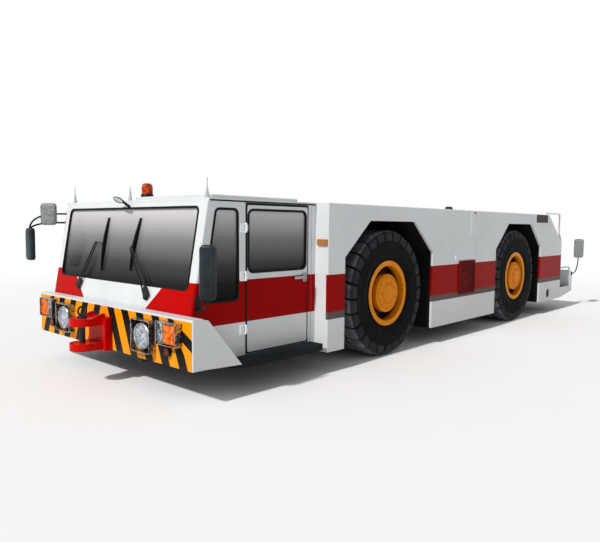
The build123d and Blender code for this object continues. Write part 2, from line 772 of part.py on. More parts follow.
# Doors with the door halves of the hinges and a lever handle, their panes and pane seals
door_h = door_top_z - door_low_z
door_mid_z = (door_low_z + door_top_z) / 2
glass_mid_z = (door_glass_low_z + door_glass_top_z) / 2
glass_w = door_w - 2 * door_stile
glass_h = door_glass_top_z - door_glass_low_z
pane_w = glass_w - 2 * seal_w
pane_h = glass_h - 2 * seal_w
pane_r = glass_corner_r - seal_w
handle_z = 1010
for side_name, side in sides:
    with BuildPart() as cab_door:
        with BuildSketch(Plane.XZ.offset(-side * cab_half)):
            with Locations((door_mid_x, door_mid_z)):
                RectangleRounded(door_w, door_h, 20)
            with Locations((door_mid_x, glass_mid_z)):
                RectangleRounded(glass_w, glass_h, glass_corner_r, mode=Mode.SUBTRACT)
        extrude(amount=side * door_skin)
        for z in hinge_z:
            with BuildSketch(Plane.XY.offset(z - hinge_barrel)):
                with Locations((hinge_x - 15, side * (cab_half + 5))):
                    Rectangle(22, 10)
                with Locations((hinge_x, side * hinge_y)):
                    Circle(hinge_r)
                    Circle(hinge_pin_r + seat, mode=Mode.SUBTRACT)
            extrude(amount=2 * hinge_barrel)
        with BuildSketch(Plane.XZ.offset(-side * cab_half)):
            with Locations((door_rear_x + 55, handle_z)):
                RectangleRounded(60, 90, 12)
        extrude(amount=-side * 12)
        with BuildSketch(Plane.XZ.offset(-side * (cab_half + 12))):
            with Locations((door_rear_x + 125, handle_z)):
                RectangleRounded(190, 26, 12)
        extrude(amount=-side * 14)
    cab_door.part.label = f"cab_door_{side_name}"
    export_step(cab_door.part.moved(cab_place), f"parts/cab_door_{side_name}.step")

    with BuildPart() as door_glass:
        with BuildSketch(Plane.XZ.offset(-side * (cab_half - 14))):
            with Locations((door_mid_x, glass_mid_z)):
                RectangleRounded(pane_w, pane_h, pane_r)
        extrude(amount=side * glass_t)
    door_glass.part.label = f"door_glass_{side_name}"
    export_step(door_glass.part.moved(cab_place), f"parts/door_glass_{side_name}.step")

    with BuildPart() as door_seal:
        with BuildSketch(Plane.XZ.offset(-side * (cab_half + 4))):
            with Locations((door_mid_x, glass_mid_z)):
                RectangleRounded(glass_w, glass_h, glass_corner_r)
                RectangleRounded(pane_w, pane_h, pane_r, mode=Mode.SUBTRACT)
        extrude(amount=side * 34)
    door_seal.part.label = f"door_seal_{side_name}"
    export_step(door_seal.part.moved(cab_place), f"parts/door_seal_{side_name}.step")

# Steps below the doors: tread box on a sill bar
step_low_z = 262
step_h = 66
step_front_x = nose_x - wing_reach - 10
with BuildPart() as side_steps:
    for side, wall_y, step_w in walls:
        with BuildSketch(Plane.XY.offset(step_low_z)):
            with Locations(((step_front_x + door_rear_x - 50) / 2, side * (wall_y + step_w / 2))):
                RectangleRounded(step_front_x - door_rear_x + 50, step_w, edge_r)
        extrude(amount=step_h)
        with BuildSketch(Plane.XY.offset(skirt_z + 10)):
            with Locations(((step_front_x + cab_back_x) / 2, side * wall_y)):
                Rectangle(step_front_x - cab_back_x, 60)
        extrude(amount=45)
side_steps.part.label = "side_steps"

# Seats: pedestal, pan and back shell, with a cushion and a back pad
seat_y = cab_half - 670
seat_x = cab_back_x + 540
seat_rise = 240
pan_w = 460
shell_t = 35
pad_t = 100
pad_top_z = 1330
cushion_low_z = cab_floor_z + seat_rise + 40
cushion_t = 110


# X of the front of the reclined seat back at a height
def seat_back_x(z):
    return seat_x - 195 - (z - cushion_low_z) * 85 / 630


with BuildPart() as seat_frames:
    with BuildSketch(Plane.XY.offset(cab_floor_z)):
        with Locations((seat_x, seat_y)):
            RectangleRounded(380, 420, 30)
    extrude(amount=seat_rise)
    with BuildSketch(Plane.XZ.offset(-seat_y - pan_w / 2)):
        Polygon(
            (seat_back_x(cushion_low_z) - shell_t, cushion_low_z),
            (seat_back_x(cushion_low_z), cushion_low_z),
            (seat_back_x(pad_top_z), pad_top_z),
            (seat_back_x(pad_top_z) - shell_t, pad_top_z),
            align=None,
        )
    extrude(amount=pan_w)
    with BuildSketch(Plane.XY.offset(cab_floor_z + seat_rise)):
        with Locations((seat_x - 10, seat_y)):
            RectangleRounded(pan_w, pan_w, 30)
    extrude(amount=cushion_low_z - cab_floor_z - seat_rise)
    mirror(about=Plane.XZ)
seat_frames.part.label = "seat_frames"

with BuildPart() as seat_cushions:
    with BuildSketch(Plane.XY.offset(cushion_low_z)):
        with Locations((seat_x + 25, seat_y)):
            RectangleRounded(440, pan_w, 50)
    extrude(amount=cushion_t)
    pad_low_z = cushion_low_z + cushion_t + 5
    with BuildSketch(Plane.XZ.offset(-seat_y - 220)):
        Polygon(
            (seat_back_x(pad_low_z) + seat, pad_low_z),
            (seat_back_x(pad_low_z) + pad_t, pad_low_z),
            (seat_back_x(pad_top_z) + pad_t, pad_top_z + 30),
            (seat_back_x(pad_top_z) + seat, pad_top_z),
            align=None,
        )
    extrude(amount=440)
    mirror(about=Plane.XZ)
seat_cushions.part.label = "seat_cushions"

# Dashboard with a hood over the gauges and the steering column
desk_half = cab_half - cab_skin - 10
column_x = nose_x - 550
column_z = 1040
column_l = 200
hand_r = 215
rim_bar = 28
wheel_plane = Plane(origin=(column_x, seat_y, column_z), x_dir=(0, 1, 0), z_dir=(-0.5, 0, 0.866))
with BuildPart() as dashboard:
    with BuildSketch(Plane.XZ.offset(-desk_half)):
        Polygon(
            (foot_x - front_skin, 600),
            (foot_x - front_skin, foot_z),
            (cab_front_x(900) - front_skin, 900),
            (column_x + 90, 960),
            (column_x + 60, 900),
            (column_x + 220, 800),
            (column_x + 270, 600),
            align=None,
        )
    extrude(amount=2 * desk_half)
    with BuildSketch(wheel_plane):
        Circle(26)
    extrude(amount=-column_l)
dashboard.part.label = "dashboard"

with BuildPart() as steering_wheel:
    with BuildSketch(wheel_plane):
        Circle(hand_r)
        Circle(hand_r - rim_bar, mode=Mode.SUBTRACT)
        Circle(50)
        for turn in (90, 210, 330):
            with Locations(Location((0, 0, 0), turn)):
                Rectangle(hand_r - rim_bar / 2, 22, align=(Align.MIN, Align.CENTER))
    extrude(amount=26)
    fillet(steering_wheel.edges().filter_by(GeomType.CIRCLE).sort_by(SortBy.RADIUS)[-2:], radius=9)
steering_wheel.part.label = "steering_wheel"

# Head lamps: domed round lenses, and a square driving lamp inboard of each turn lamp
square_w = 84
with BuildPart() as head_lamps:
    with BuildSketch(Plane.YZ.offset(nose_x)):
        with Locations((lamp_y, lamp_z), (-lamp_y, lamp_z)):
            Circle(lamp_r)
    extrude(amount=lamp_reach)
    fillet(head_lamps.edges().filter_by(GeomType.CIRCLE).group_by(Axis.X)[-1], radius=22)
    with BuildSketch(Plane.YZ.offset(nose_x)):
        square_y = turn_y - turn_w / 2 + square_w / 2
        with Locations((square_y, turn_z), (-square_y, turn_z)):
            RectangleRounded(square_w - 4, turn_h, 10)
    extrude(amount=lamp_reach)
head_lamps.part.label = "head_lamps"

# Amber lamps: turn lamps, small round lamps below them and marker lamps on the step of the body
small_r = 46
small_z = 450
marker_h = 60
marker_z = 1365
marker_max_w = 130
marker_edge = 10
small_y = turn_y - 50
with BuildPart() as turn_lamps:
    with BuildSketch(Plane.YZ.offset(nose_x)):
        lens_y = turn_y + square_w / 2
        with Locations((lens_y, turn_z), (-lens_y, turn_z)):
            RectangleRounded(turn_w - square_w, turn_h, 10)
        with Locations((small_y, small_z), (-small_y, small_z)):
            Circle(small_r)
    extrude(amount=lamp_reach / 2)
    with BuildSketch(Plane.YZ.offset(nose_x + lamp_reach / 2)):
        with Locations((lens_y, turn_z), (-lens_y, turn_z)):
            RectangleRounded(turn_w - square_w, turn_h, 10)
    extrude(amount=lamp_reach / 2, taper=10)
    with BuildSketch(Plane.YZ.offset(cab_back_x)):
        for side, wall_y, step_w in walls:
            marker_w = min(marker_max_w, step_w - 2 * marker_edge)
            with Locations((side * (body_half - marker_edge - marker_w / 2), marker_z)):
                RectangleRounded(marker_w, marker_h, 8)
    extrude(amount=24)
turn_lamps.part.label = "turn_lamps"

tail_lamp_w = 260
with BuildPart() as tail_lamps:
    with BuildSketch(Plane.YZ.offset(tail_x - 30)):
        for side in (1, -1):
            with Locations((side * (body_half - tail_lamp_w / 2 - 100), 560)):
                RectangleRounded(tail_lamp_w, 110, 12)
    extrude(amount=30)
tail_lamps.part.label = "tail_lamps"

# Amber beacon: flanged base and domed cover
beacon_x = brow_x - 195
beacon_r = 56
beacon_foot = 34
beacon_h = 144
with BuildPart() as beacon:
    with BuildSketch(Plane.XY.offset(deck_z + hump_h)):
        with Locations((beacon_x, 0)):
            Circle(beacon_r + 10)
    extrude(amount=beacon_foot)
    with BuildSketch(Plane.XY.offset(deck_z + hump_h + beacon_foot)):
        with Locations((beacon_x, 0)):
            Circle(beacon_r)
    extrude(amount=beacon_h - beacon_foot)
    fillet(beacon.edges().filter_by(GeomType.CIRCLE).group_by(Axis.Z)[-1], radius=beacon_r * 0.7)
beacon.part.label = "beacon"

# Antennas: thick foot and thin whip
# column names: setback from the brow, y, whip height
whips = ((24, 135 - cab_half, 175), (40, -15, 140), (55, cab_half - 80, 175))
with BuildPart() as antennas:
    for setback, whip_y, whip_h in whips:
        with BuildSketch(Plane.XY.offset(deck_z)):
            with Locations((brow_x - setback, whip_y)):
                Circle(19)
        extrude(amount=40, taper=12)
        with BuildSketch(Plane.XY.offset(deck_z + 30)):
            with Locations((brow_x - setback, whip_y)):
                Circle(5)
        extrude(amount=whip_h - 30)
antennas.part.label = "antennas"

# Mirrors: large housing at the left pillar, small and slim heads at the right one, a wide-angle head
# over the windscreen and one head on a stalk beside the tail wall
arm_r = 10
slim_x = nose_x + 60
slim_y = 75 - mirror_out_y
with BuildPart() as mirrors:
    # column names: x, y, low z, width along X, depth along Y, height, turn, corner radius
    heads = (
        (nose_x - 125, cab_left_y + 222, 910, 56, 140, 460, 38, 24),
        (nose_x - 105, cab_right_y - 62, 1512, 50, 190, 250, 32, 24),
        (slim_x, slim_y, 1112, 56, 150, 366, 0, 26),
        (tail_x - 14, mirror_out_y - 86, 962, 54, 172, 366, 0, 24),
    )
    for head_x, head_y, head_z, deep, wide, tall, turn, corner_r in heads:
        with BuildSketch(Plane.XY.offset(head_z)):
            with Locations(Location((head_x, head_y), turn)):
                RectangleRounded(deep, wide, corner_r)
        extrude(amount=tall)
        chamfer(mirrors.edges(Select.LAST).group_by(Axis.Z)[-1], length=10)
    # column names: first point, second point, third point
    pillar_x = cab_front_x(860) - 45
    arms = (
        (
            (pillar_x, cab_left_y + 10, 815),
            (nose_x - 125, cab_left_y + 222, 815),
            (nose_x - 125, cab_left_y + 222, 935),
        ),
        (
            (cab_front_x(1120) - 45, cab_left_y + 10, 1160),
            (nose_x - 150, cab_left_y + 120, 1160),
            (nose_x - 130, cab_left_y + 200, 1160),
        ),
        (
            (cab_front_x(1640) - 35, cab_right_y - 10, 1640),
            (slim_x, slim_y, 1660),
            (slim_x, slim_y, 1460),
        ),
        (
            (cab_front_x(1540) - 35, cab_right_y - 10, 1540),
            (slim_x - 40, slim_y + 20, 1550),
            (slim_x, slim_y, 1465),
        ),
        (
            (tail_x + tail_t / 2, body_half + 10, 655),
            (tail_x - 14, mirror_out_y - 86, 655),
            (tail_x - 14, mirror_out_y - 86, 990),
        ),
    )
    for start, bend, end in arms:
        with BuildLine():
            FilletPolyline(start, bend, end, radius=18)
        with BuildSketch(Plane(origin=start, z_dir=Vector(*bend) - Vector(*start))):
            Circle(arm_r)
        sweep()
    # column names: x, z, signed distance of the wall from the middle plane, height
    feet = (
        (pillar_x, 855, cab_left_y, 150),
        (cab_front_x(1120) - 45, 1160, cab_left_y, 60),
        (cab_front_x(1640) - 35, 1640, cab_right_y, 60),
        (cab_front_x(1540) - 35, 1540, cab_right_y, 60),
        (tail_x + tail_t / 2, 645, body_half, 60),
    )
    for foot_mid_x, foot_mid_z, wall_y, foot_h in feet:
        way = wall_y / abs(wall_y)
        with BuildSketch(Plane.XZ.offset(-wall_y - way * seat)):
            with Locations((foot_mid_x, foot_mid_z)):
                RectangleRounded(56, foot_h, 8)
        extrude(amount=-way * 12)
    with BuildSketch(Plane.YZ.offset(brow_x + 85)):
        with Locations((-40, cab_roof_z + 30)):
            Ellipse(125, 48)
    extrude(amount=30)
    with BuildSketch(Plane.XZ.offset(-72)):
        Polygon(
            (brow_x - 60, deck_z + seat),
            (brow_x - 60, deck_z + 14),
            (brow_x + 86, cab_roof_z + 50),
            (brow_x + 86, cab_roof_z + 30),
            (brow_x, deck_z + seat),
            align=None,
        )
    extrude(amount=24)
mirrors.part.label = "mirrors"

# Side grilles: frame with sloping louvre slats
slat_pitch = (grille_h - 2 * grille_bar) / slats
with BuildPart() as side_grilles:
    with BuildSketch(Plane.XZ.offset(-body_half - seat)):
        with Locations((middle_x, grille_low_z + grille_h / 2)):
            Rectangle(grille_w, grille_h)
            Rectangle(
                grille_w - 2 * grille_bar, grille_h - 2 * grille_bar, mode=Mode.SUBTRACT
            )
    extrude(amount=-16)
    with BuildSketch(Plane.YZ.offset(middle_x - grille_w / 2 + 15)):
        for slat in range(slats):
            slat_z = grille_low_z + grille_bar + (slat + 0.1) * slat_pitch
            Polygon(
                (body_half + seat, slat_z + slat_pitch * 0.45),
                (body_half + seat, slat_z + slat_pitch * 0.85),
                (body_half + 14, slat_z + slat_pitch * 0.4),
                (body_half + 14, slat_z),
                align=None,
            )
    extrude(amount=grille_w - 30)
    mirror(about=Plane.XZ)
side_grilles.part.label = "side_grilles"

# Axles with differential bowl, yokes and kingpins
ear_in = knuckle_half + seat
ear_out = ear_in + ear_t
yoke_y = kingpin_y - 80
for axle_name, axle_x in (("front_axle", front_axle_x), ("rear_axle", rear_axle_x)):
    with BuildPart() as axle:
        with BuildSketch(Plane.XZ.offset(-yoke_y)):
            with Locations((axle_x, axle_z)):
                Circle(axle_tube_r)
        extrude(amount=2 * yoke_y)
        with BuildSketch(Plane.XZ.offset(-200)):
            with Locations((axle_x, axle_z)):
                RegularPolygon(bowl_r, 12)
        extrude(amount=400)
        with BuildSketch(Plane.XY.offset(axle_z)):
            with Locations((axle_x, rail_mid), (axle_x, -rail_mid)):
                Rectangle(220, rail_w)
        extrude(amount=rail_low_z - axle_z)
        for side in (1, -1):
            with BuildSketch(Plane.XZ.offset(-side * yoke_y)):
                with Locations((axle_x, axle_z)):
                    Rectangle(140, 2 * ear_out)
            extrude(amount=side * 40)
            for ear_z in (axle_z + ear_in, axle_z - ear_out):
                with BuildSketch(Plane.XY.offset(ear_z)):
                    with Locations((axle_x, side * (yoke_y + 60))):
                        Rectangle(120, 160)
                extrude(amount=ear_t)
            with BuildSketch(Plane.XY.offset(axle_z - ear_out)):
                with Locations((axle_x, side * kingpin_y)):
                    Circle(kingpin_r)
            extrude(amount=2 * ear_out)
    axle.part.label = axle_name
    export_step(axle.part, f"parts/{axle_name}.step")

# Tyre outline as many-sided rings: distance from the wheel's middle plane, radius
seat_half = tyre_half - bead_drop
flange_half = tyre_half - flange_drop
lip_half = tyre_half - lip_drop
carcass_r = tyre_r - tread_depth
wall = (
    (flange_half + 8, rim_r + 25),
    (tyre_half, (rim_r + tyre_r) / 2),
    (tyre_half - 22, carcass_r),
)
ring_grow = 1 / cos(pi / facets)
bore = ((tyre_half + 20, rim_r + seat), (flange_half, rim_r + seat), (seat_half, bead_r + seat))

# Steering knuckles, rims with planetary hubs, tyres with block lugs on both shoulders
# column names: corner, axle x, side
corners = (
    ("front_left", front_axle_x, 1),
    ("front_right", front_axle_x, -1),
    ("rear_left", rear_axle_x, 1),
    ("rear_right", rear_axle_x, -1),
)
for corner, axle_x, side in corners:
    hub_y = side * wheel_y
    with BuildPart() as knuckle:
        with BuildSketch(Plane.XY.offset(axle_z - knuckle_half)):
            with Locations((axle_x, side * kingpin_y)):
                Rectangle(110, 80)
                Circle(kingpin_r + seat, mode=Mode.SUBTRACT)
        extrude(amount=2 * knuckle_half)
        with BuildSketch(Plane.XZ.offset(-side * (kingpin_y + 39))):
            with Locations((axle_x, axle_z)):
                Circle(spindle_r)
        extrude(amount=-side * (wheel_y + 44 - kingpin_y - 39))
    knuckle.part.label = f"knuckle_{corner}"
    export_step(knuckle.part, f"parts/knuckle_{corner}.step")

    with BuildPart() as rim:
        with BuildSketch(Plane.XY.offset(axle_z)):
            with BuildLine():
                Polyline(
                    (axle_x + barrel_r, hub_y - side * lip_half),
                    (axle_x + rim_r, hub_y - side * lip_half),
                    (axle_x + rim_r, hub_y - side * flange_half),
                    (axle_x + bead_r, hub_y - side * seat_half),
                    (axle_x + bead_r, hub_y + side * seat_half),
                    (axle_x + rim_r, hub_y + side * flange_half),
                    (axle_x + rim_r, hub_y + side * lip_half),
                    (axle_x + barrel_r + 10, hub_y + side * lip_half),
                    (axle_x + barrel_r, hub_y + side * 60),
                    (axle_x + hub_r, hub_y + side * 50),
                    (axle_x + hub_r, hub_y + side * (tyre_half - 30)),
                    (axle_x + hub_r - 25, hub_y + side * (tyre_half - 12)),
                    (axle_x + 100, hub_y + side * (tyre_half - 12)),
                    (axle_x + 88, hub_y + side * tyre_half),
                    (axle_x, hub_y + side * tyre_half),
                    (axle_x, hub_y + side * 70),
                    (axle_x + spindle_r + spindle_fit, hub_y + side * 70),
                    (axle_x + spindle_r + spindle_fit, hub_y - side * 100),
                    (axle_x + 140, hub_y - side * 100),
                    (axle_x + 150, hub_y + side * 20),
                    (axle_x + barrel_r, hub_y + side * 30),
                    close=True,
                )
            make_face()
        revolve(axis=Axis((axle_x, 0, axle_z), (0, 1, 0)))
    rim.part.label = f"rim_{corner}"
    export_step(rim.part, f"parts/rim_{corner}.step")

    with BuildPart() as tyre:
        for reach, r in [(-reach, r) for reach, r in wall] + [(reach, r) for reach, r in reversed(wall)]:
            with BuildSketch(Plane.XZ.offset(-hub_y - reach)):
                with Locations((axle_x, axle_z)):
                    RegularPolygon(r, facets)
        loft(ruled=True)
        lug_planes = []
        for half_way, way in ((0, 1), (0.5, -1)):
            for lug in range(facets):
                angle = pi + (lug + half_way) * 2 * pi / facets
                lug_dir = (way * cos(angle), 0, -way * sin(angle))
                lug_planes.append(Plane((axle_x, hub_y, axle_z), x_dir=(0, way, 0), z_dir=lug_dir))
        with BuildSketch(*lug_planes):
            Polygon(
                (24, carcass_r - tread_depth),
                (24, tyre_r),
                (tyre_half - 50, tyre_r),
                (tyre_half - 4, tyre_r - 36),
                (tyre_half - 20, tyre_r - 104),
                align=None,
            )
        extrude(amount=lug_w / 2, both=True)
        for reach, r in [(-reach, r) for reach, r in bore] + [(reach, r) for reach, r in reversed(bore)]:
            with BuildSketch(Plane.XZ.offset(-hub_y - reach)):
                with Locations((axle_x, axle_z)):
                    RegularPolygon(r * ring_grow, facets)
        loft(ruled=True, mode=Mode.SUBTRACT)
    tyre.part.label = f"tyre_{corner}"
    export_step(tyre.part, f"parts/tyre_{corner}.step")

for single in (
    chassis_frame,
    cross_members,
    engine_block,
    wheel_liners,
    deck_plate,
    deck_fittings,
    engine_lid,
    front_bulkhead,
    rear_bulkhead,
    ballast_boxes,
    front_bumper,
    rear_platform,
    rear_bumper,
    rear_rails,
    side_steps,
    head_lamps,
    turn_lamps,
    tail_lamps,
    beacon,
    mirrors,
    side_grilles,
):
    export_step(single.part, f"parts/{single.part.label}.step")

# The cab is drawn about its own middle plane, which lies to the right of the body's
for single in (
    cab_floor,
    cab_front,
    cab_sides,
    cab_roof,
    cab_glass,
    cab_seals,
    wipers,
    seat_frames,
    seat_cushions,
    dashboard,
    steering_wheel,
    antennas,
):
    export_step(single.part.moved(cab_place), f"parts/{single.part.label}.step")
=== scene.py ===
from functools import partial
from math import cos, pi, radians, sin
import bmesh
import bpy
from mathutils import Matrix, Vector


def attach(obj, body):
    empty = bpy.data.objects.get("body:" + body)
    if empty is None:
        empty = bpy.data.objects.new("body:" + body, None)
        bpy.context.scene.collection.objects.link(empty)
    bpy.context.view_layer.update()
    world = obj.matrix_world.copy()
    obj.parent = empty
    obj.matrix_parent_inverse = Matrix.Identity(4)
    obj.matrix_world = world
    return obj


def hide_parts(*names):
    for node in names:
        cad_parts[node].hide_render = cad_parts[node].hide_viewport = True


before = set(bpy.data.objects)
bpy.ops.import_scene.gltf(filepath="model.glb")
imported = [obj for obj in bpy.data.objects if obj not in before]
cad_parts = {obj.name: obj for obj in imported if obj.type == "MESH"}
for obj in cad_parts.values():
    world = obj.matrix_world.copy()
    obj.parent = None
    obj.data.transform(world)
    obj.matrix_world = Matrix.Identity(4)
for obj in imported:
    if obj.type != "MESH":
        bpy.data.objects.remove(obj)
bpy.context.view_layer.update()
scene = bpy.context.scene
print("frame loaded:", len(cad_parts), "nodes")

# Sizes are in metres in the frame's own axes: X forward, Y to the left, Z up
sides = {"left": 1, "right": -1}
corners = ("front_left", "front_right", "rear_left", "rear_right")


# sRGB hex to the linear colour that a shader takes
def srgb(text):
    parts = [int(text[i:i + 2], 16) / 255 for i in (1, 3, 5)]
    return tuple(c / 12.92 if c <= 0.04045 else ((c + 0.055) / 1.055) ** 2.4 for c in parts) + (1.0,)


# Adds one node, with its operation after its kind, and gives back one output or a slice of them: ins
# are values or sockets by index or name, settings are the node's own options
def addNode(tree, kind, ins=(), out=0, **settings):
    kind, *operation = kind.split()
    node = tree.nodes.new(kind if "Node" in kind else "ShaderNode" + kind)
    if operation:
        node.operation = operation[0]
    for name, value in settings.items():
        setattr(node, name, value)
    for key, value in (ins.items() if isinstance(ins, dict) else enumerate(ins)):
        if isinstance(value, bpy.types.NodeSocket):
            tree.links.new(value, node.inputs[key])
        elif value is not None:
            node.inputs[key].default_value = value
    return node.outputs[out] if node.outputs else None


def startMaterial(name):
    material = bpy.data.materials.new(name)
    material.use_nodes = True
    material.node_tree.nodes.clear()
    add = partial(addNode, material.node_tree)
    return material, add, add("TexCoord", out="Object")


# Ends a material with its shader: each socket gets a link or a value
def endMaterial(material, **sockets):
    add = partial(addNode, material.node_tree)
    add("OutputMaterial", [add("BsdfPrincipled", {k.replace("_", " "): v for k, v in sockets.items()})])
    return material


# Lays coats over a first colour in their order, each with the share of the surface that it covers
def paintCoats(add, colour, coats):
    for share, over in coats:
        colour = add("Mix", {0: share, 6: colour, 7: srgb(over)}, 2, data_type="RGBA")
    return colour


# 1 inside limits given by axis (0 along, 1 across, 2 height), else 0
def inBox(add, axes, limits):
    share = 1.0
    for axis, (low, high) in limits.items():
        part = add("Math COMPARE", [axes[axis], (low + high) / 2, (high - low) / 2])
        share = add("Math MULTIPLY", [share, part])
    return share


# How far a point is from an upright lengthwise plane
def aside(add, axes, middle=0.0):
    return add("Math ABSOLUTE", [add("Math SUBTRACT", [axes[1], middle])])


# Share that spots cover: noise, cut between two levels
def speckles(add, place, scale, detail, roughness, low, high, most=1.0):
    noise = add("TexNoise", {"Vector": place, "Scale": scale, "Detail": detail, "Roughness": roughness})
    return add("MapRange", [noise, low, high, 0.0, most])


# Fine relief and uneven gloss that every finish gets; grain is the width of one speck
def addSurface(add, place, grain, depth, rough, spread):
    specks = add("TexNoise", {"Vector": place, "Scale": 1 / grain, "Detail": 3.0})
    patches = add("TexNoise", {"Vector": place, "Scale": 2.5, "Detail": 4.0})
    return patches, {
        "Normal": add("Bump", {"Strength": 1.0, "Distance": depth, "Height": specks}),
        "Roughness": add("MapRange", [patches, 0.3, 0.7, rough - spread, rough + spread])}


paint = {
    # Side and front red are one paint: the side's darker copy is painted shade, the front's brighter one
    # painted light
    "white": "#dde0e2", "sideRed": "#9c0604", "frontRed": "#ba0301", "grey": "#625652",
    "dust": "#8a8276", "orange": "#f79a06", "black": "#101114", "metal": "#9b9ea1",
    "opening": "#070505", "guard": "#b4b6b8", "tread": "#6f7274",
    "bandLow": 0.640, "bandTop": 1.032, "greyLow": 0.567, "greyFront": 2.87,
    "grille": {0: (-0.405, 0.055), 2: (0.606, 1.068)},
    "peel": 0.004, "relief": 0.00004, "rough": 0.30, "shine": 0.03,
    "cabMiddleY": -0.055, "cabWall": 1.2865, "hingesFrom": 3.6, "wedgeMiddleY": -0.065,
    "wedge": (0.71, 0.91, 0.545, 0.753),             # two heights, and the half width at each
    "stripeTop": 0.735, "stripeStart": 0.181, "stripePitch": 0.25, "stripeShare": 0.52,
    "leans": (0.40, 0.844, 1.78),                    # stripes, edge of the corner, last black one
    "cornerFrom": 1.056, "lastStripe": (1.038, 0.089),
}


# Two-pack enamel sprayed on steel sheet: even and smooth, with a soft sheen, a faint change of tone and
# road dust that gathers low down; makeCoats gives the coats over it and the share that is bare metal
def enamel(name, colour, dusty=0.25, makeCoats=None, *given):
    material, add, place = startMaterial(name)
    patches, surface = addSurface(add, place, paint["peel"], paint["relief"], paint["rough"], 0.06)
    axes = add("SeparateXYZ", [place], slice(3))
    coats, metal = makeCoats(add, axes, *given) if makeCoats else ((), None)
    painted = paintCoats(add, srgb(colour), coats) if coats else srgb(colour)[:3]
    tone = add("MapRange", [patches, 0.3, 0.7, 0.96, 1.03])
    varied = add("VectorMath MULTIPLY", [painted, tone])
    low = add("MapRange", [axes[2], 0.2, 0.7, dusty, 0.0])
    dust = add("Math MULTIPLY", [low, patches])
    return endMaterial(material, Base_Color=paintCoats(add, varied, [(dust, paint["dust"])]),
                       Metallic=metal, Specular_IOR_Level=paint["shine"], **surface)


# Non-slip paint on what faces up
def treadCoat(add, axes):
    rise = add("SeparateXYZ", [add("NewGeometry", out="Normal")], 2)
    return [(add("Math GREATER_THAN", [rise, 0.7]), paint["tread"])], None


# Body sides: the masked red band, darker for painted shade, with a grey one under it, and near-black
# painted shade behind the grille
def bodyCoats(add, axes):
    greyBand = {0: (-9.0, paint["greyFront"]), 2: (paint["greyLow"], paint["bandLow"])}
    return [(inBox(add, axes, {2: (paint["bandLow"], paint["bandTop"])}), paint["sideRed"]),
            (inBox(add, axes, greyBand), paint["grey"]),
            (inBox(add, axes, paint["grille"]), paint["opening"])], None


# Cab walls and doors: the red band, darker for painted shade; hinges stayed white and the lever handle is
# bare metal
def cabCoats(add, axes):
    out = aside(add, axes, paint["cabMiddleY"])
    proud = add("Math GREATER_THAN", [out, paint["cabWall"]])
    front = add("Math GREATER_THAN", [axes[0], paint["hingesFrom"]])
    hinge = add("Math MULTIPLY", [proud, front])
    handle = add("Math SUBTRACT", [proud, hinge])
    return [(inBox(add, axes, {2: (paint["bandLow"], paint["bandTop"])}), paint["sideRed"]),
            (hinge, "#f4f6f7"), (handle, paint["metal"])], handle


# Raked cab front, red below the windscreen, brighter for painted light: a white trapezium in the middle of
# it, and white above
def frontCoats(add, axes):
    edge = add("MapRange", [axes[2], *paint["wedge"]], clamp=False)
    middle = add("Math LESS_THAN", [aside(add, axes, paint["wedgeMiddleY"]), edge])
    above = add("Math GREATER_THAN", [axes[2], paint["bandTop"]])
    return [(add("Math MAXIMUM", [middle, above]), paint["white"])], None


# Warning stripes on the end face that looks along X: they lean outwards as they come down, and a last
# black one leans more across each corner. The lamp guards in front are bare metal, dull in spots
def stripeCoats(add, axes, faceX, way, lampGuards):
    out = aside(add, axes)
    down = add("Math SUBTRACT", [paint["stripeTop"], axes[2]])
    level, wedge, band = (
        add("Math MULTIPLY_ADD", [down, -lean, out]) for lean in paint["leans"])
    pitch = paint["stripePitch"]
    turns = add("Math MULTIPLY_ADD", [level, 1 / pitch, -paint["stripeStart"] / pitch])
    part = add("Math FRACT", [turns])
    inner = add("Math LESS_THAN", [part, paint["stripeShare"]])
    last = add("Math COMPARE", [band, *paint["lastStripe"]])
    outer = add("Math SUBTRACT", [1.0, last])
    corner = add("Math GREATER_THAN", [wedge, paint["cornerFrom"]])
    orange = add("Mix", {0: corner, 2: inner, 3: outer})
    reach = add("Math MULTIPLY", [axes[0], way])
    face = add("Math GREATER_THAN", [reach, faceX * way - 0.0008])
    low = add("Math LESS_THAN", [axes[2], paint["stripeTop"] - 0.0005])
    dark = add("Math MULTIPLY", [face, low])
    coats = [(dark, paint["black"]),
             (add("Math MULTIPLY", [dark, orange]), paint["orange"])]
    if not lampGuards:
        return coats, None
    guards = add("Math GREATER_THAN", [axes[0], faceX + 0.003])
    dull = speckles(add, add("CombineXYZ", axes), 45.0, 2.0, 0.5, 0.48, 0.58)
    mottled = add("Math MULTIPLY", [dull, guards])
    return coats + [(guards, paint["guard"]), (mottled, "#5d5a55")], guards


# Where coats begin and end: dust (where the rims' deep ring takes painted shade), flank (the lugs' painted
# shade) and tailAmber are distances from the middle plane, whipFoot and tint (the glass's painted
# reflection) are heights, smallLampAt is (distance, height, 0), and the rest are limits for inBox
coatEdges = {
    "dust": (1.225, 1.31), "flank": (1.328, 1.345), "whipFoot": 1.812, "tailAmber": 1.222,
    "smallLamp": {0: (4.5, 4.7), 2: (0.39, 0.51)}, "smallLampAt": (1.078, 0.450, 0.0),
    "smallLampR": 0.027, "marker": {0: (2.8, 2.95)}, "tint": (0.86, 1.70),
}


# Painted shade: the deep ring between hub and barrel is turned nearly black
def deepRingShade(add, axes):
    deep = add("MapRange", [aside(add, axes), *coatEdges["dust"], 0.99, 0.0],
               interpolation_type="SMOOTHSTEP")
    return [(deep, "#0a0503")]


# Painted shade on the tread blocks' outer flanks: they are darkened
def flankShadeCoat(add, axes):
    return [(add("MapRange", [aside(add, axes), *coatEdges["flank"], 0.0, 0.85]), "#1d1e21")]


# Pale glass fibre whip over the aerial's darker foot
def whipCoat(add, axes):
    return [(add("Math GREATER_THAN", [axes[2], coatEdges["whipFoot"]]), "#c0c3c5")]


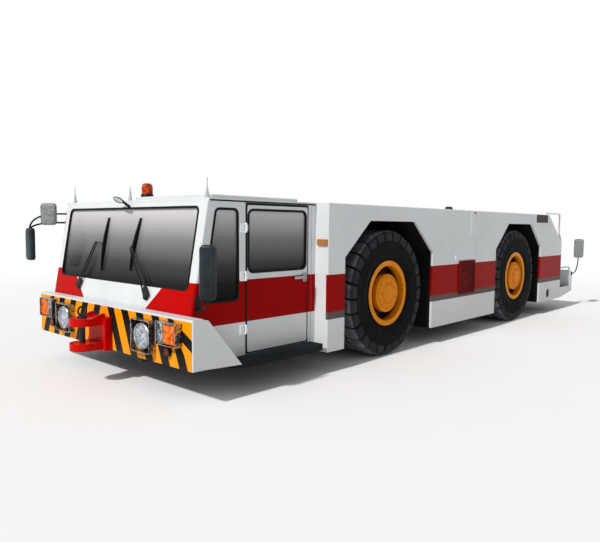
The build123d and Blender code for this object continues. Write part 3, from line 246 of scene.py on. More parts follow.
# Moulded, cast, rolled or brushed surfaces with fine grain: one colour that drifts to a second one in
# patches of a size, or in spots as speckles takes them, and then the coats of makeCoats
def moulded(name, colour, second, grain, depth, rough, spread=0.06, patch=None, spots=None,
            makeCoats=None, shine=0.5, metal=0.0):
    material, add, place = startMaterial(name)
    patches, surface = addSurface(add, place, grain, depth, rough, spread)
    if patch:
        spots = (1 / patch, 5.0, 0.5, 0.38, 0.62)
    share = speckles(add, place, *spots) if spots else add("MapRange", [patches, 0.38, 0.62, 0.0, 1.0])
    coats = [(share, second)]
    if makeCoats:
        coats += makeCoats(add, add("SeparateXYZ", [place], slice(3)))
    return endMaterial(material, Base_Color=paintCoats(add, srgb(colour), coats),
                       Specular_IOR_Level=shine, Metallic=metal, **surface)


# Float glass with a painted reflection that runs from a pale top to a nearly black foot
def tintedGlass():
    material, add, place = startMaterial("tintedGlass")
    height = add("SeparateXYZ", [place], 2)
    ramp = add("ValToRGB", [add("MapRange", [height, *coatEdges["tint"], 0.0, 1.0])])
    stops = ((0.0, "#08090a"), (0.17, "#1b1c1d"), (0.36, "#414142"), (0.64, "#828182"),
             (0.93, "#cbc8c9"), (1.0, "#d3d1d1"))
    elements = ramp.node.color_ramp.elements
    for at, colour in stops[1:-1]:
        elements.new(at)
    for element, (at, colour) in zip(elements, stops):
        element.position, element.color = at, srgb(colour)
    waves = add("TexNoise", {"Vector": place, "Scale": 1.5})
    bump = add("Bump", {"Strength": 0.2, "Distance": 0.002, "Height": waves})
    return endMaterial(material, Base_Color=ramp, Normal=bump, Roughness=0.08, Alpha=0.95,
                       Specular_IOR_Level=0.07)


# Moulded acrylic lens: coloured and glossy, with ribs every few millimetres and painted highlights:
# brighter spots in the glow colour
def lensAcrylic(name, colour, glow, ribs, pitch=0.012, makeCoats=None):
    material, add, place = startMaterial(name)
    waves = add("TexWave", {"Vector": place, "Scale": 0.314 / pitch}, 1, bands_direction=ribs)
    bump = add("Bump", {"Strength": 0.8, "Distance": 0.002, "Height": waves})
    coats = [(speckles(add, place, 24.0, 2.0, 0.5, 0.38, 0.62), glow)]
    if makeCoats:
        coats += makeCoats(add, add("SeparateXYZ", [place], slice(3)))
    return endMaterial(material, Base_Color=paintCoats(add, srgb(colour), coats), Normal=bump,
                       Roughness=0.15, Specular_IOR_Level=0.2)


# Front lenses are amber; the small round lamps under the turn lamps have a dark
# ring and a dark red middle, and the side markers are browner
def amberCoats(add, axes):
    off = add("CombineXYZ", [aside(add, axes), axes[2], 0.0])
    far = add("VectorMath DISTANCE", [off, coatEdges["smallLampAt"]], "Value")
    small = inBox(add, axes, coatEdges["smallLamp"])
    ring = add("Math GREATER_THAN", [far, coatEdges["smallLampR"]])
    dark = add("Math MULTIPLY", [small, ring])
    marker = inBox(add, axes, coatEdges["marker"])
    return [(small, "#7a1a0c"), (dark, "#0c0909"), (marker, "#b47637")]


# The rear cluster's outer third is amber
def tailCoats(add, axes):
    return [(add("Math GREATER_THAN", [aside(add, axes), coatEdges["tailAmber"]]), "#e06a10")]


# Pressed lamp glass: clear, with upright flutes
def lampGlass():
    material, add, place = startMaterial("clearLampGlass")
    flutes = add("TexWave", {"Vector": place, "Scale": 20.0}, 1, bands_direction="Y")
    bump = add("Bump", {"Strength": 0.8, "Distance": 0.003, "Height": flutes})
    return endMaterial(material, Base_Color=srgb("#d5dfe8"), Normal=bump, Roughness=0.05, Alpha=0.2)


# Vacuum-metallised reflector: bright and faceted, with dark and blue-grey patches painted on as painted
# reflections
def reflectorMetal():
    material, add, place = startMaterial("lampReflector")
    facets = add("TexVoronoi", {"Vector": place, "Scale": 38.0})
    bump = add("Bump", {"Strength": 0.9, "Distance": 0.004, "Height": facets})
    coats = [(add("MapRange", [facets, 0.35, 0.75, 0.0, 1.0]), "#7f8892"),
             (speckles(add, place, 16.0, 3.0, 0.5, 0.48, 0.62, 0.85), "#343a42")]
    return endMaterial(material, Base_Color=paintCoats(add, srgb("#eef2f6"), coats), Normal=bump,
                       Metallic=1.0, Roughness=0.14)


# Woven seat cloth: warp and weft 3 mm apart, drawn that coarse so that it shows
def seatCloth():
    material, add, place = startMaterial("seatWovenCloth")
    threads = [add("TexWave", {"Vector": place, "Scale": 0.315 / 0.003}, 1, bands_direction=way)
               for way in ("Y", "X")]
    weave = add("Math ADD", threads)
    bump = add("Bump", {"Strength": 0.7, "Distance": 0.001, "Height": weave})
    share = add("Math MULTIPLY", [weave, 0.5])
    return endMaterial(material, Base_Color=paintCoats(add, srgb("#2a2e36"), [(share, "#4a505c")]),
                       Normal=bump, Roughness=0.9, Sheen_Weight=0.35)


# A moulded finish takes two colours, the width of a speck, the depth of the relief and the roughness
finish = {
    "white": enamel("bodyWhiteEnamel", paint["white"]),
    "platform": enamel("platformWhiteEnamel", paint["white"], 0.25, treadCoat),
    "bodyBands": enamel("bodyBandedEnamel", paint["white"], 0.3, bodyCoats),
    "cabBands": enamel("cabBandedEnamel", paint["white"], 0.3, cabCoats),
    "front": enamel("frontPanelEnamel", paint["frontRed"], 0.25, frontCoats),
    "bumper": enamel("bumperStripedEnamel", paint["white"], 0.2, stripeCoats, 4.580, 1, True),
    "tail": enamel("tailStripedEnamel", paint["white"], 0.2, stripeCoats, -4.630, -1, False),
    # Thick brushed enamel on the towing jaws, scuffed down to dark steel in spots
    "hitch": moulded("hitchRedEnamel", "#c90402", "#3a1512", 0.006, 0.0002, 0.32, 0.08,
                     spots=(22.0, 6.0, 0.7, 0.64, 0.70, 0.8), shine=0.10),
    # Enamel sprayed on cast rims: warm orange with a soft gloss and rusty spots, and painted shade in the
    # deep ring
    "rim": moulded("rimOrangeEnamel", "#ee9008", "#8a3f08", 0.005, 0.0001, 0.36, 0.08,
                   spots=(30.0, 5.0, 0.5, 0.5, 0.8, 0.55), makeCoats=deepRingShade, shine=0.10),
    # Paint with grit rolled into it: matt, and it breaks up the light
    "deck": moulded("deckNonSlipPaint", "#b4b7b8", "#aaadae", 0.005, 0.0012, 0.75, shine=0.2),
    # Vulcanised rubber: matt and dark, with scrub that leaves pale spots
    "tyre": moulded("tyreRubber", "#090a0c", "#151618", 0.006, 0.0006, 0.80, 0.08,
                    spots=(9.0, 6.0, 0.65, 0.42, 0.72), shine=0.08),
    # The lugs take a much lighter copy of the tyre rubber, for painted light on the tread faces
    "lug": moulded("tyreLugRubber", "#55555b", "#88888e", 0.006, 0.0006, 0.80, 0.08,
                   spots=(9.0, 6.0, 0.65, 0.42, 0.72), makeCoats=flankShadeCoat, shine=0.08),
    # Extruded rubber: nearly black, with a dull sheen
    "seal": moulded("blackSealRubber", "#090a0c", "#101114", 0.003, 0.00015, 0.5, shine=0.1),
    # Injection moulded plastics: fine even grain and a low sheen; the pale backs have gone blotchy
    "plastic": moulded("blackMouldedPlastic", "#101315", "#181b1e", 0.002, 0.0001, 0.4, shine=0.15),
    "housing": moulded("mirrorHousingPlastic", "#0f1517", "#24343a", 0.002, 0.0001, 0.35, patch=0.22,
                       shine=0.25),
    "mottled": moulded("mottledGreyPlastic", "#4c5052", "#a2a5a6", 0.002, 0.0001, 0.5, patch=0.010),
    # Brushed paint and sprayed underseal: dull and dark, and the underseal is lumpy
    "chassis": moulded("blackChassisPaint", "#17181a", "#222120", 0.006, 0.0003, 0.6),
    "liner": moulded("blackUnderseal", "#070809", "#0e0f11", 0.01, 0.0015, 0.85, shine=0.2),
    # Sand castings: the sand's grain shows through paint, and bare alloy gleams softly
    "castIron": moulded("castIronPaint", "#202224", "#2d2a27", 0.004, 0.0006, 0.6),
    "engine": moulded("engineEnamel", "#3f4a45", "#2f3532", 0.004, 0.0005, 0.5),
    "alloy": moulded("castAlloy", "#8d9193", "#7a7e80", 0.003, 0.0004, 0.45, metal=1.0),
    # Sprayed slats in dark dull red, and moulded step rubber with a coarse grain
    "grille": moulded("grilleDarkRed", "#7e0805", "#5c0503", 0.004, 0.0001, 0.5, shine=0.05),
    "step": moulded("stepRubber", "#111517", "#1c2023", 0.008, 0.0010, 0.7, shine=0.1),
    # Plated steel gleams softly, blackened steel hardly, and chrome is close to a mirror
    "steel": moulded("zincPlatedSteel", "#8f9294", "#6f7274", 0.003, 0.0001, 0.34, metal=1.0),
    "darkSteel": moulded("blackenedSteel", "#2b2c2e", "#404246", 0.003, 0.0002, 0.4, metal=1.0),
    "chrome": moulded("lampChrome", "#d8dadc", "#8b8f92", 0.004, 0.0001, 0.16, patch=0.05, metal=1.0),
    # Enamel on bent tube: pale and smooth
    "rail": moulded("railWhiteEnamel", "#d3d6d8", "#c4c7c9", 0.004, 0.00005, 0.35),
    # Silvered glass: it shows the pale floor and sky
    "mirror": moulded("mirrorGlass", "#c3c7ca", "#a9adb0", 0.5, 0.0001, 0.07, 0.02, metal=1.0),
    # Small parts: pale moulded feet, blank printed plates, brushed-on sealer, printed dials, and
    # vinyl piping with a soft sheen
    "foot": moulded("paleGreyPlastic", "#c4c8cb", "#aeb2b5", 0.002, 0.0001, 0.45),
    "signPlate": moulded("blankSignPlate", "#3e1513", "#1d2a22", 0.004, 0.0001, 0.45, patch=0.05,
                         shine=0.1),
    "seam": moulded("seamSealer", "#5b6066", "#6c7178", 0.003, 0.0001, 0.6),
    "dial": moulded("dialBlack", "#08090a", "#0e0f10", 0.002, 0.00005, 0.3),
    "dialWhite": moulded("dialWhitePrint", "#e8e9ea", "#dcdddf", 0.002, 0.00005, 0.5),
    "vinyl": moulded("seatPipingVinyl", "#1a1b1e", "#232528", 0.002, 0.0001, 0.45),
    # Drawn glass fibre: grey and smooth
    "aerial": moulded("aerialGlassFibre", "#77797b", "#77797b", 0.003, 0.0001, 0.45, 0.05,
                      makeCoats=whipCoat),
    "glass": tintedGlass(),
    "amber": lensAcrylic("amberAcrylicLens", "#c63a04", "#ff8c1e", "Y", makeCoats=amberCoats),
    "redLens": lensAcrylic("redAcrylicLens", "#7d0605", "#c21410", "Y", makeCoats=tailCoats),
    "beacon": lensAcrylic("beaconAcrylic", "#8e2404", "#d8500e", "Z", 0.02),
    "lampGlass": lampGlass(),
    "reflector": reflectorMetal(),
    "cloth": seatCloth(),
}
nodesOf = {
    "white": "front_bulkhead rear_bulkhead cab_roof",
    "platform": "rear_platform",
    "bodyBands": "body_side_left body_side_right",
    "cabBands": "cab_sides cab_door_left cab_door_right",
    "front": "cab_front",
    "bumper": "front_bumper",
    "tail": "rear_bumper",
    "hitch": "front_hitch rear_hitch",
    "rim": " ".join(f"rim_{corner}" for corner in corners),
    "deck": "deck_plate engine_lid",
    "tyre": " ".join(f"tyre_{corner}" for corner in corners),
    "seal": "cab_seals door_seal_left door_seal_right",
    "plastic": "wipers dashboard steering_wheel mirrors",
    "chassis": "chassis_frame cross_members ballast_boxes seat_frames",
    "liner": "wheel_liners",
    "castIron": "front_axle rear_axle " + " ".join(f"knuckle_{corner}" for corner in corners),
    "engine": "engine_block",
    "grille": "side_grilles",
    "step": "side_steps cab_floor",
    "darkSteel": "deck_fittings front_pin rear_pin",
    "aerial": "antennas",
    "rail": "rear_rails",
    "glass": "cab_glass door_glass_left door_glass_right",
    "amber": "turn_lamps",
    "beacon": "beacon",
    "redLens": "tail_lamps",
    "reflector": "head_lamps",
    "cloth": "seat_cushions",
}
finishOf = {node: key for key, names in nodesOf.items() for node in names.split()}


def dress(mesh, key):
    mesh.materials.clear()
    mesh.materials.append(finish[key])


for node, key in finishOf.items():
    dress(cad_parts[node].data, key)
print("materials made:", len(finish), "nodes without one:", sorted(set(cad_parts) - set(finishOf)))


# Ends a mesh being built: normals outwards, bevelled edges if asked
def finished(work, bevel=0.0, segments=1):
    bmesh.ops.recalc_face_normals(work, faces=work.faces)
    if bevel:
        bmesh.ops.bevel(work, geom=work.edges[:], offset=bevel, segments=segments, affect="EDGES",
                        profile=0.5)
    mesh = bpy.data.meshes.new("piece")
    work.to_mesh(mesh)
    work.free()
    return mesh


def linked(name, data):
    thing = bpy.data.objects.new(name, data)
    scene.collection.objects.link(thing)
    return thing


def joined(meshes):
    work = bmesh.new()
    for mesh in meshes:
        work.from_mesh(mesh)
    result = bpy.data.meshes.new("joined")
    work.to_mesh(result)
    work.free()
    return result


# Makes an object of one mesh or a list: its finish, the body that carries it and the CAD nodes that it
# stands for
def addPiece(name, mesh, key, body="tractor", stands=(), smooth=False):
    mesh = joined(mesh) if isinstance(mesh, list) else mesh
    mesh.name = name
    piece = linked(name, mesh)
    dress(mesh, key)
    for polygon in mesh.polygons:
        polygon.use_smooth = smooth
    if smooth:
        mesh.set_sharp_from_angle(angle=radians(35))
    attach(piece, body)
    if stands:
        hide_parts(*stands)
    return piece


# Turned form: profile points are (radius, distance along the axis), closed on itself or at the axis
def turned(profile, centre, axis, segments, closed=False):
    work = bmesh.new()
    turn = {"X": Matrix.Rotation(pi / 2, 3, "Y"), "Y": Matrix.Rotation(-pi / 2, 3, "X"),
            "Z": Matrix.Identity(3)}[axis]
    rings = []
    for step in range(segments):
        c, s = cos(2 * pi * step / segments), sin(2 * pi * step / segments)
        rings.append([work.verts.new(turn @ Vector((r * c, r * s, t))) for r, t in profile])
    count = len(profile)
    for here, there in zip(rings, rings[1:] + rings[:1]):
        for k in range(count if closed else count - 1):
            n = (k + 1) % count
            work.faces.new((here[k], there[k], there[n], here[n]))
    bmesh.ops.remove_doubles(work, verts=work.verts, dist=1e-6)
    bmesh.ops.dissolve_degenerate(work, edges=work.edges, dist=1e-7)
    bmesh.ops.translate(work, verts=work.verts, vec=Vector(centre))
    return finished(work)


# Skin over outlines of as many points each, closed at both ends
def loft(outlines, bevel=0.0, segments=1):
    work = bmesh.new()
    rows = [[work.verts.new(p) for p in outline] for outline in outlines]
    work.faces.new(rows[0])
    work.faces.new(rows[-1][::-1])
    for low, high in zip(rows, rows[1:]):
        for k in range(len(low)):
            n = (k + 1) % len(low)
            work.faces.new((low[n], low[k], high[k], high[n]))
    return finished(work, bevel, segments)


def rectangle(u0, v0, u1, v1):
    return [(u0, v0), (u1, v0), (u1, v1), (u0, v1)]


# Rectangle with round corners, and a gap inside it on every side
def roundedOutline(u0, v0, u1, v1, r, steps=5, gap=0.0):
    points = []
    middles = rectangle(u0 + gap + r, v0 + gap + r, u1 - gap - r, v1 - gap - r)
    for start, (u, v) in enumerate(middles[2:] + middles[:2]):
        for k in range(steps + 1):
            angle = pi / 2 * (start + k / steps)
            points.append((u + r * cos(angle), v + r * sin(angle)))
    return points


def circle(u, v, r, count=24):
    return [(u + r * cos(2 * pi * k / count), v + r * sin(2 * pi * k / count)) for k in range(count)]


# Flat plate, and flat ring between two outlines; place(u, v, w) gives the point at height w over the
# surface
def plate(outline, place, low, high, bevel=0.0, segments=1):
    return loft([[place(u, v, w) for u, v in outline] for w in (low, high)], bevel, segments)


def ringPlate(outer, inner, place, low, high):
    work = bmesh.new()
    rings = [[work.verts.new(place(u, v, w)) for u, v in line]
             for line, w in ((outer, low), (outer, high), (inner, high), (inner, low))]
    for here, there in zip(rings, rings[1:] + rings[:1]):
        for k in range(len(outer)):
            n = (k + 1) % len(outer)
            work.faces.new((here[k], here[n], there[n], there[k]))
    return finished(work)


def block(low, high, bevel=0.003, segments=2):
    outline = rectangle(low[0], low[1], high[0], high[1])
    return plate(outline, lambda u, v, w: (u, v, w), low[2], high[2], bevel, segments)


# A plain mesh of an object as its modifiers leave it
def settled(thing):
    bpy.context.view_layer.update()
    graph = bpy.context.evaluated_depsgraph_get()
    return bpy.data.meshes.new_from_object(thing.evaluated_get(graph), depsgraph=graph)


# Round bar or hose along points
def tube(points, radius, closed=False, smooth=False):
    curve = bpy.data.curves.new("line", "CURVE")
    curve.dimensions = "3D"
    spline = curve.splines.new("NURBS" if smooth else "POLY")
    spline.points.add(len(points) - 1)
    for point, place in zip(spline.points, points):
        point.co = (*place, 1.0)
    spline.use_cyclic_u = closed
    if smooth:
        spline.order_u, spline.use_endpoint_u = 3, True
    curve.bevel_depth, curve.bevel_resolution, curve.use_fill_caps = radius, 2, True
    carrier = linked("line", curve)
    mesh = settled(carrier)
    bpy.data.objects.remove(carrier)
    return mesh


# The start and end that every tree for repeated pieces has
def startTree(name, sockets):
    tree = bpy.data.node_groups.new(name, "GeometryNodeTree")
    for label, kind in {"Piece": "Object", "Finish": "Material", "Count": "Int", **sockets}.items():
        tree.interface.new_socket(label, in_out="INPUT", socket_type="NodeSocket" + kind)
    tree.interface.new_socket("Geometry", in_out="OUTPUT", socket_type="NodeSocketGeometry")
    add = partial(addNode, tree)
    return tree, add, add("NodeGroupInput").node.outputs


def endTree(add, given, points, rotation=None):
    piece = add("GeometryNodeObjectInfo", {"Object": given["Piece"]}, "Geometry")
    placed = add("GeometryNodeInstanceOnPoints", {
        "Points": points, "Instance": piece, "Rotation": rotation})
    real = add("GeometryNodeRealizeInstances", [placed])
    dressed = add("GeometryNodeSetMaterial", {"Geometry": real, "Material": given["Finish"]})
    add("NodeGroupOutput", [dressed])


# A piece turned about an axis through a centre, Count times
def makeRingTree():
    tree, add, given = startTree(
        "ringOfPieces", {"Start angle": "Float", "Centre": "Vector", "Axis": "Vector"})
    points = add("GeometryNodePoints", {"Count": given["Count"], "Position": given["Centre"]})
    pitch = add("Math DIVIDE", [2 * pi, given["Count"]])
    index = add("GeometryNodeInputIndex")
    angle = add("Math MULTIPLY_ADD", [index, pitch, given["Start angle"]])
    turn = add("FunctionNodeAxisAngleToRotation", {"Axis": given["Axis"], "Angle": angle})
    endTree(add, given, points, turn)
    return tree


# A piece in a straight row, with both ends filled
def makeRowTree():
    tree, add, given = startTree("rowOfPieces", {"Start": "Vector", "End": "Vector"})
    ends = {"Count": given["Count"], "Start Location": given["Start"], "Offset": given["End"]}
    endTree(add, given, add("GeometryNodeMeshLine", ends, mode="END_POINTS"))
    return tree


ringTree, rowTree = makeRingTree(), makeRowTree()


# Runs a tree once and keeps its result as a plain mesh
def repeated(tree, mesh, key, count, **values):
    pattern, carrier = linked("pattern", mesh), linked("carrier", bpy.data.meshes.new("carrier"))
    modifier = carrier.modifiers.new("repeat", "NODES")
    modifier.node_group = tree
    inputs = {s.name: s.identifier for s in tree.interface.items_tree if s.in_out == "INPUT"}
    for label, value in {"Piece": pattern, "Finish": finish[key], "Count": count, **values}.items():
        modifier[inputs[label.replace("_", " ")]] = value
    carrier.update_tag()
    result = settled(carrier)
    for thing in (carrier, pattern):
        bpy.data.objects.remove(thing)
    return result


def inRow(mesh, key, count, start, end):
    return repeated(rowTree, mesh, key, count, Start=start, End=end)


def boltMesh(radius, height, flangeR, outward, axis="Y"):
    profile = [(0, 0), (flangeR, 0), (flangeR, 0.003), (radius, 0.004), (radius, height - 0.002),
               (radius * 0.8, height), (0, height)]
    return turned([(r, outward * t) for r, t in profile], (0, 0, 0), axis, 6)


# Screw heads in a straight row over a surface, pointing out along one axis
def screwRow(start, end, count, axis, outward, radius=0.007):
    return inRow(boltMesh(radius, 0.0045, radius * 1.25, outward, axis), "steel", count, start, end)


wheel = {
    "frontX": 1.675, "rearX": -2.025, "y": 1.145, "z": 0.746, "half": 0.215, "carcassR": 0.716,
    "lugs": 26, "groove": 0.026, "slant": 0.20,     # a block's outer end trails its inner one a little
    "bolts": ((28, 0.186, 0.0085, 0.011), (12, 0.122, 0.008, 0.010)),    # count, ring, head, height
    "ribs": 12, "turn": 0.1,
}


def lugMesh(way):
    half = wheel["half"]
    section = [(0.020, 0.690), (0.024, 0.7405), (0.165, 0.7405), (half - 0.004, 0.710),
               (half - 0.001, 0.624), (half - 0.022, 0.606)]

    def onTread(reach, radius, sign):
        wide = radius * pi / wheel["lugs"] - wheel["groove"] / 2
        return sign * wide + wheel["slant"] * (reach - 0.11) * way, way * reach, radius

    return plate(section, onTread, -1, 1, 0.005)


def tyreProfile():
    half, top = wheel["half"], wheel["carcassR"]
    side = [
        (0.3855, half - 0.030), (0.392, half - 0.014), (0.405, half - 0.014), (0.412, half - 0.022),
        (0.440, half - 0.012), (0.452, half - 0.008), (0.500, half - 0.002), (0.512, half),
        (0.520, half - 0.002), (0.560, half), (0.600, half - 0.002), (0.610, half),
        (0.618, half - 0.004), (0.660, half - 0.012), (0.690, half - 0.018), (0.708, half - 0.028),
        (top, half - 0.050), (top + 0.002, 0.100), (top + 0.003, 0.030)]
    inner = [(0.3853, half - 0.035), (0.350, half - 0.066), (0.346, 0.10)]
    return inner[::-1] + side + [(r, -t) for r, t in side[::-1] + inner]


for corner in corners:
    axleX = wheel["frontX"] if "front" in corner else wheel["rearX"]
    sign = 1 if "left" in corner else -1
    centre = (axleX, sign * wheel["y"], wheel["z"])
    around = {"Centre": centre, "Axis": (0.0, 1.0, 0.0)}
    body, nodes = f"wheel_{corner}", [f"tyre_{corner}"]
    carcass = turned(tyreProfile(), centre, "Y", 96, True)
    addPiece(f"tyre_carcass_{corner}", carcass, "tyre", body, nodes, True)
    lugs = [repeated(ringTree, lugMesh(way), "lug", wheel["lugs"], Start_angle=start, **around)
            for way, start in ((1, pi), (-1, pi + pi / wheel["lugs"]))]
    addPiece(f"tyre_lugs_{corner}", lugs, "lug", body, nodes)
    face, hub = sign * (wheel["half"] - 0.012), []
    for count, ringR, boltR, high in wheel["bolts"]:
        bolt = boltMesh(boltR, high, boltR * 1.5, sign)
        bolt.transform(Matrix.Translation((0, face, ringR)))
        hub.append(repeated(ringTree, bolt, "rim", count, Start_angle=wheel["turn"], **around))
    cap = [(0, 0), (0.050, 0), (0.050, sign * 0.004), (0.030, sign * 0.0065), (0, sign * 0.007)]
    hub.append(turned(cap, (axleX, sign * (wheel["y"] + wheel["half"]), wheel["z"]), "Y", 24))
    rib = loft([[(x, 0, z) for x, z in rectangle(-0.004, 0.100, 0.004, 0.172)],
                [(x, sign * (0.007 if z < 0.15 else 0.004), z)
                 for x, z in rectangle(-0.003, 0.102, 0.003, 0.170)]])
    rib.transform(Matrix.Translation((0, face, 0)))
    first = wheel["turn"] + pi / wheel["ribs"]
    hub.append(repeated(ringTree, rib, "rim", wheel["ribs"], Start_angle=first, **around))
    addPiece(f"hub_bolts_{corner}", hub, "rim", body)
print("wheels made")

lamp = {"x": 4.580, "y": 0.740, "z": 0.545, "r": 0.125, "reach": 0.062, "fogIn": 0.996, "fogOut": 1.076,
        "fogLow": 0.523, "fogHigh": 0.701, "fogWall": 0.009}


def onFront(u, v, w):
    return lamp["x"] + w, u, v


for name, sign in sides.items():
    r, reach = lamp["r"], lamp["reach"]
    profiles = {
        "bezel": ("chrome", 64, [
            (r - 0.004, 0.0), (r, 0.006), (r, reach - 0.016), (r - 0.004, reach - 0.006),
            (r - 0.012, reach), (r - 0.021, reach - 0.004), (r - 0.024, reach - 0.012), (r - 0.024, 0.0)]),
        "bowl": ("reflector", 48, [
            (0, 0.010), (0.030, 0.014), (0.060, 0.024), (0.085, 0.038), (r - 0.025, 0.048),
            (r - 0.025, 0.001), (0, 0.001)]),
        # The bulb cap is printed white for a painted highlight
        "shade": ("dialWhite", 24, [
            (0.020, 0.009), (0.024, 0.030), (0.018, 0.041), (0, 0.045), (0, 0.009)]),
        "glass": ("lampGlass", 48, [
            (0, 0.060), (0.050, 0.058), (0.080, 0.055), (r - 0.024, 0.051), (r - 0.024, 0.048),
            (0.080, 0.052), (0.050, 0.055), (0, 0.057)]),
    }
    for part, (key, segments, profile) in profiles.items():
        mesh = turned(profile, (lamp["x"], sign * lamp["y"], lamp["z"]), "X", segments, part == "bezel")
        addPiece(f"head_lamp_{part}_{name}", mesh, key, stands=["head_lamps"], smooth=True)
    y0, y1 = sorted((sign * lamp["fogIn"], sign * lamp["fogOut"]))
    outer, inner = (roundedOutline(y0, lamp["fogLow"], y1, lamp["fogHigh"], r, gap=gap)
                    for r, gap in ((0.012, 0.0), (0.006, lamp["fogWall"])))
    case = ringPlate(outer, inner, onFront, 0.0, reach)
    addPiece(f"fog_lamp_case_{name}", case, "chrome", stands=["head_lamps"])
    face = plate(inner, onFront, 0.001, 0.052, 0.004)
    addPiece(f"fog_lamp_face_{name}", face, "reflector", stands=["head_lamps"])

beacon = {"x": 4.080, "foot": 1.806, "dome": 1.840, "top": 1.950, "footR": 0.066, "domeR": 0.0545,
          "ribs": 24}
at, r = (beacon["x"], 0, 0), beacon["footR"]
foot = [(0, beacon["foot"]), (r, beacon["foot"]), (r, 1.820), (0.063, 1.828), (0.060, 1.838),
        (0.057, 1.841), (0, 1.841)]
addPiece("beacon_foot", turned(foot, at, "Z", 48), "plastic", stands=["beacon"], smooth=True)
r, top = beacon["domeR"], beacon["top"]
dome = [(0, beacon["dome"]), (r, beacon["dome"]), (r, top - 0.034), (r - 0.004, top - 0.018),
        (r - 0.014, top - 0.006), (r - 0.030, top - 0.001), (0, top)]
rib = loft([[(r - 0.002, y, z) for y, z in rectangle(-0.003, 1.842, 0.003, 1.912)],
            [(r + 0.0014, y, z) for y, z in rectangle(-0.001, 1.843, 0.001, 1.910)]])
ribs = repeated(ringTree, rib, "beacon", beacon["ribs"], Start_angle=0.0, Centre=at,
                Axis=(0.0, 0.0, 1.0))
addPiece("beacon_dome", [turned(dome, at, "Z", 48), ribs], "beacon", stands=["beacon"], smooth=True)
cone = [(0, 1.772), (0.022, 1.772), (0.021, 1.785), (0.014, 1.815), (0.010, 1.850), (0.006, 1.868),
        (0, 1.868)]
feet = [turned(cone, (x, y, 0), "Z", 24) for x, y in ((4.251, -1.205), (4.235, -0.070), (4.220, 1.150))]
addPiece("aerial_feet", feet, "foot", smooth=True)
print("lamps made")


# Upright wall: place(u along X, v up, w out of it)
def onWall(sign, wall):
    return lambda u, v, w: (u, sign * (wall + w), v)


# Cab walls and body walls stand this far out
walls = {"left": (1.230, 1.410), "right": (1.340, 1.410)}
door = {
    "rear": 2.980, "front": 3.838, "low": 0.335, "high": 1.734, "corner": 0.020, "proud": 0.003,
    "hingeSide": 0.018, "top": 0.016, "bottom": 0.012, "rearSide": 0.008,
}
# Rows of screws on a body side: proud of it, rear end, front end, heights, count and head radius
flapRows = (0.012, -0.498, 0.148, (1.100, 1.134), 6, 0.005)
grilleRows = (0.016, -0.393, 0.043, (0.616, 1.058), 4, 0.006)
treads = {"left": (1.246, 1.394, 7), "right": (1.352, 1.398, 3)}    # first and last bar, count
for name, sign in sides.items():
    cabWall, bodyWall = walls[name]
    onCab, onBody = onWall(sign, cabWall), onWall(sign, bodyWall)
    outer = roundedOutline(door["rear"], door["low"], door["front"], door["high"], door["corner"])
    inner = roundedOutline(
        door["rear"] + door["rearSide"], door["low"] + door["bottom"],
        door["front"] - door["hingeSide"], door["high"] - door["top"], door["corner"])
    gasket = ringPlate(outer, inner, onCab, 0.0, door["proud"])
    addPiece(f"door_gasket_{name}", gasket, "seal", f"door_{name}")
    rail = [(2.875, 1.741), (4.262, 1.741), (4.258, 1.754), (2.875, 1.754)]
    addPiece(f"drip_rail_{name}", plate(rail, onCab, 0.010, 0.0145), "seal")
    seam = plate(rectangle(2.9235, 0.345, 2.9265, 1.736), onCab, -0.0005, 0.0006)
    addPiece(f"cab_seam_{name}", seam, "seam")
    first, last, count = treads[name]
    bar = block((2.950, -0.0045, 0.327), (4.010, 0.0045, 0.3298), 0.001, 1)
    bars = inRow(bar, "step", count, (0.0, sign * first, 0.0), (0.0, sign * last, 0.0))
    addPiece(f"step_tread_{name}", bars, "step")
    flapScrews, grilleScrews = [
        [screwRow((rear, sign * (bodyWall + proud), z), (front, sign * (bodyWall + proud), z), count,
                  "Y", sign, radius) for z in heights]
        for proud, rear, front, heights, count, radius in (flapRows, grilleRows)]
    flapScrews += [screwRow((x, sign * bodyWall, 0.30), (x, sign * bodyWall, 0.54), 3, "Y", sign, 0.008)
                   for x in (2.800, 2.625)]
    addPiece(f"side_screws_{name}", flapScrews, "rail")
    addPiece(f"grille_screws_{name}", grilleScrews, "grille")
    outer = roundedOutline(-3.210, 1.625, -2.700, 1.760, 0.012)
    inner = roundedOutline(-3.200, 1.635, -2.710, 1.750, 0.008)
    addPiece(f"sign_frame_{name}", ringPlate(outer, inner, onBody, -0.0005, 0.005), "plastic")
    addPiece(f"sign_plate_{name}", plate(inner, onBody, -0.0005, 0.0025), "signPlate")
    latch = roundedOutline(-0.410, 1.722, -0.372, 1.750, 0.006)
    addPiece(f"hatch_latch_{name}", plate(latch, onBody, 0.0, 0.007, 0.001), "plastic")
print("side trim made")

# Deck: screws round the engine opening and along the deck's edges, and hooded louvres in the lid
deck = {"z": 1.770, "lidTop": 1.7843, "lidRear": -0.965, "lidFront": 0.615, "lidHalf": 0.560}
lines = []
for sign in (-1, 1):
    y = sign * (deck["lidHalf"] + 0.045)
    lines += [(deck["lidRear"] - 0.02, y, deck["lidFront"] + 0.02, y, 12),
              (-3.20, sign * 1.375, 2.78, sign * 1.375, 26)]
lines += [(x, -0.50, x, 0.50, 7) for x in (deck["lidRear"] - 0.075, deck["lidFront"] + 0.060)]
screws = [screwRow((x0, y0, deck["z"]), (x1, y1, deck["z"]), count, "Z", 1)
          for x0, y0, x1, y1, count in lines]
addPiece("deck_screws", screws, "rail")
hood = [(0.0, 0.0), (0.030, 0.0095), (0.036, 0.0095), (0.036, 0.0)]
louvre = plate(hood, lambda u, v, w: (u, w, deck["lidTop"] + v), -0.150, 0.150, 0.001)
rows = [inRow(louvre, "deck", 5, (x - 0.38, y, 0.0), (x - 0.14, y, 0.0))
        for x in (-0.045, 0.330) for y in (-0.20, 0.20)]
addPiece("lid_louvres", rows, "deck", "engine_cover")

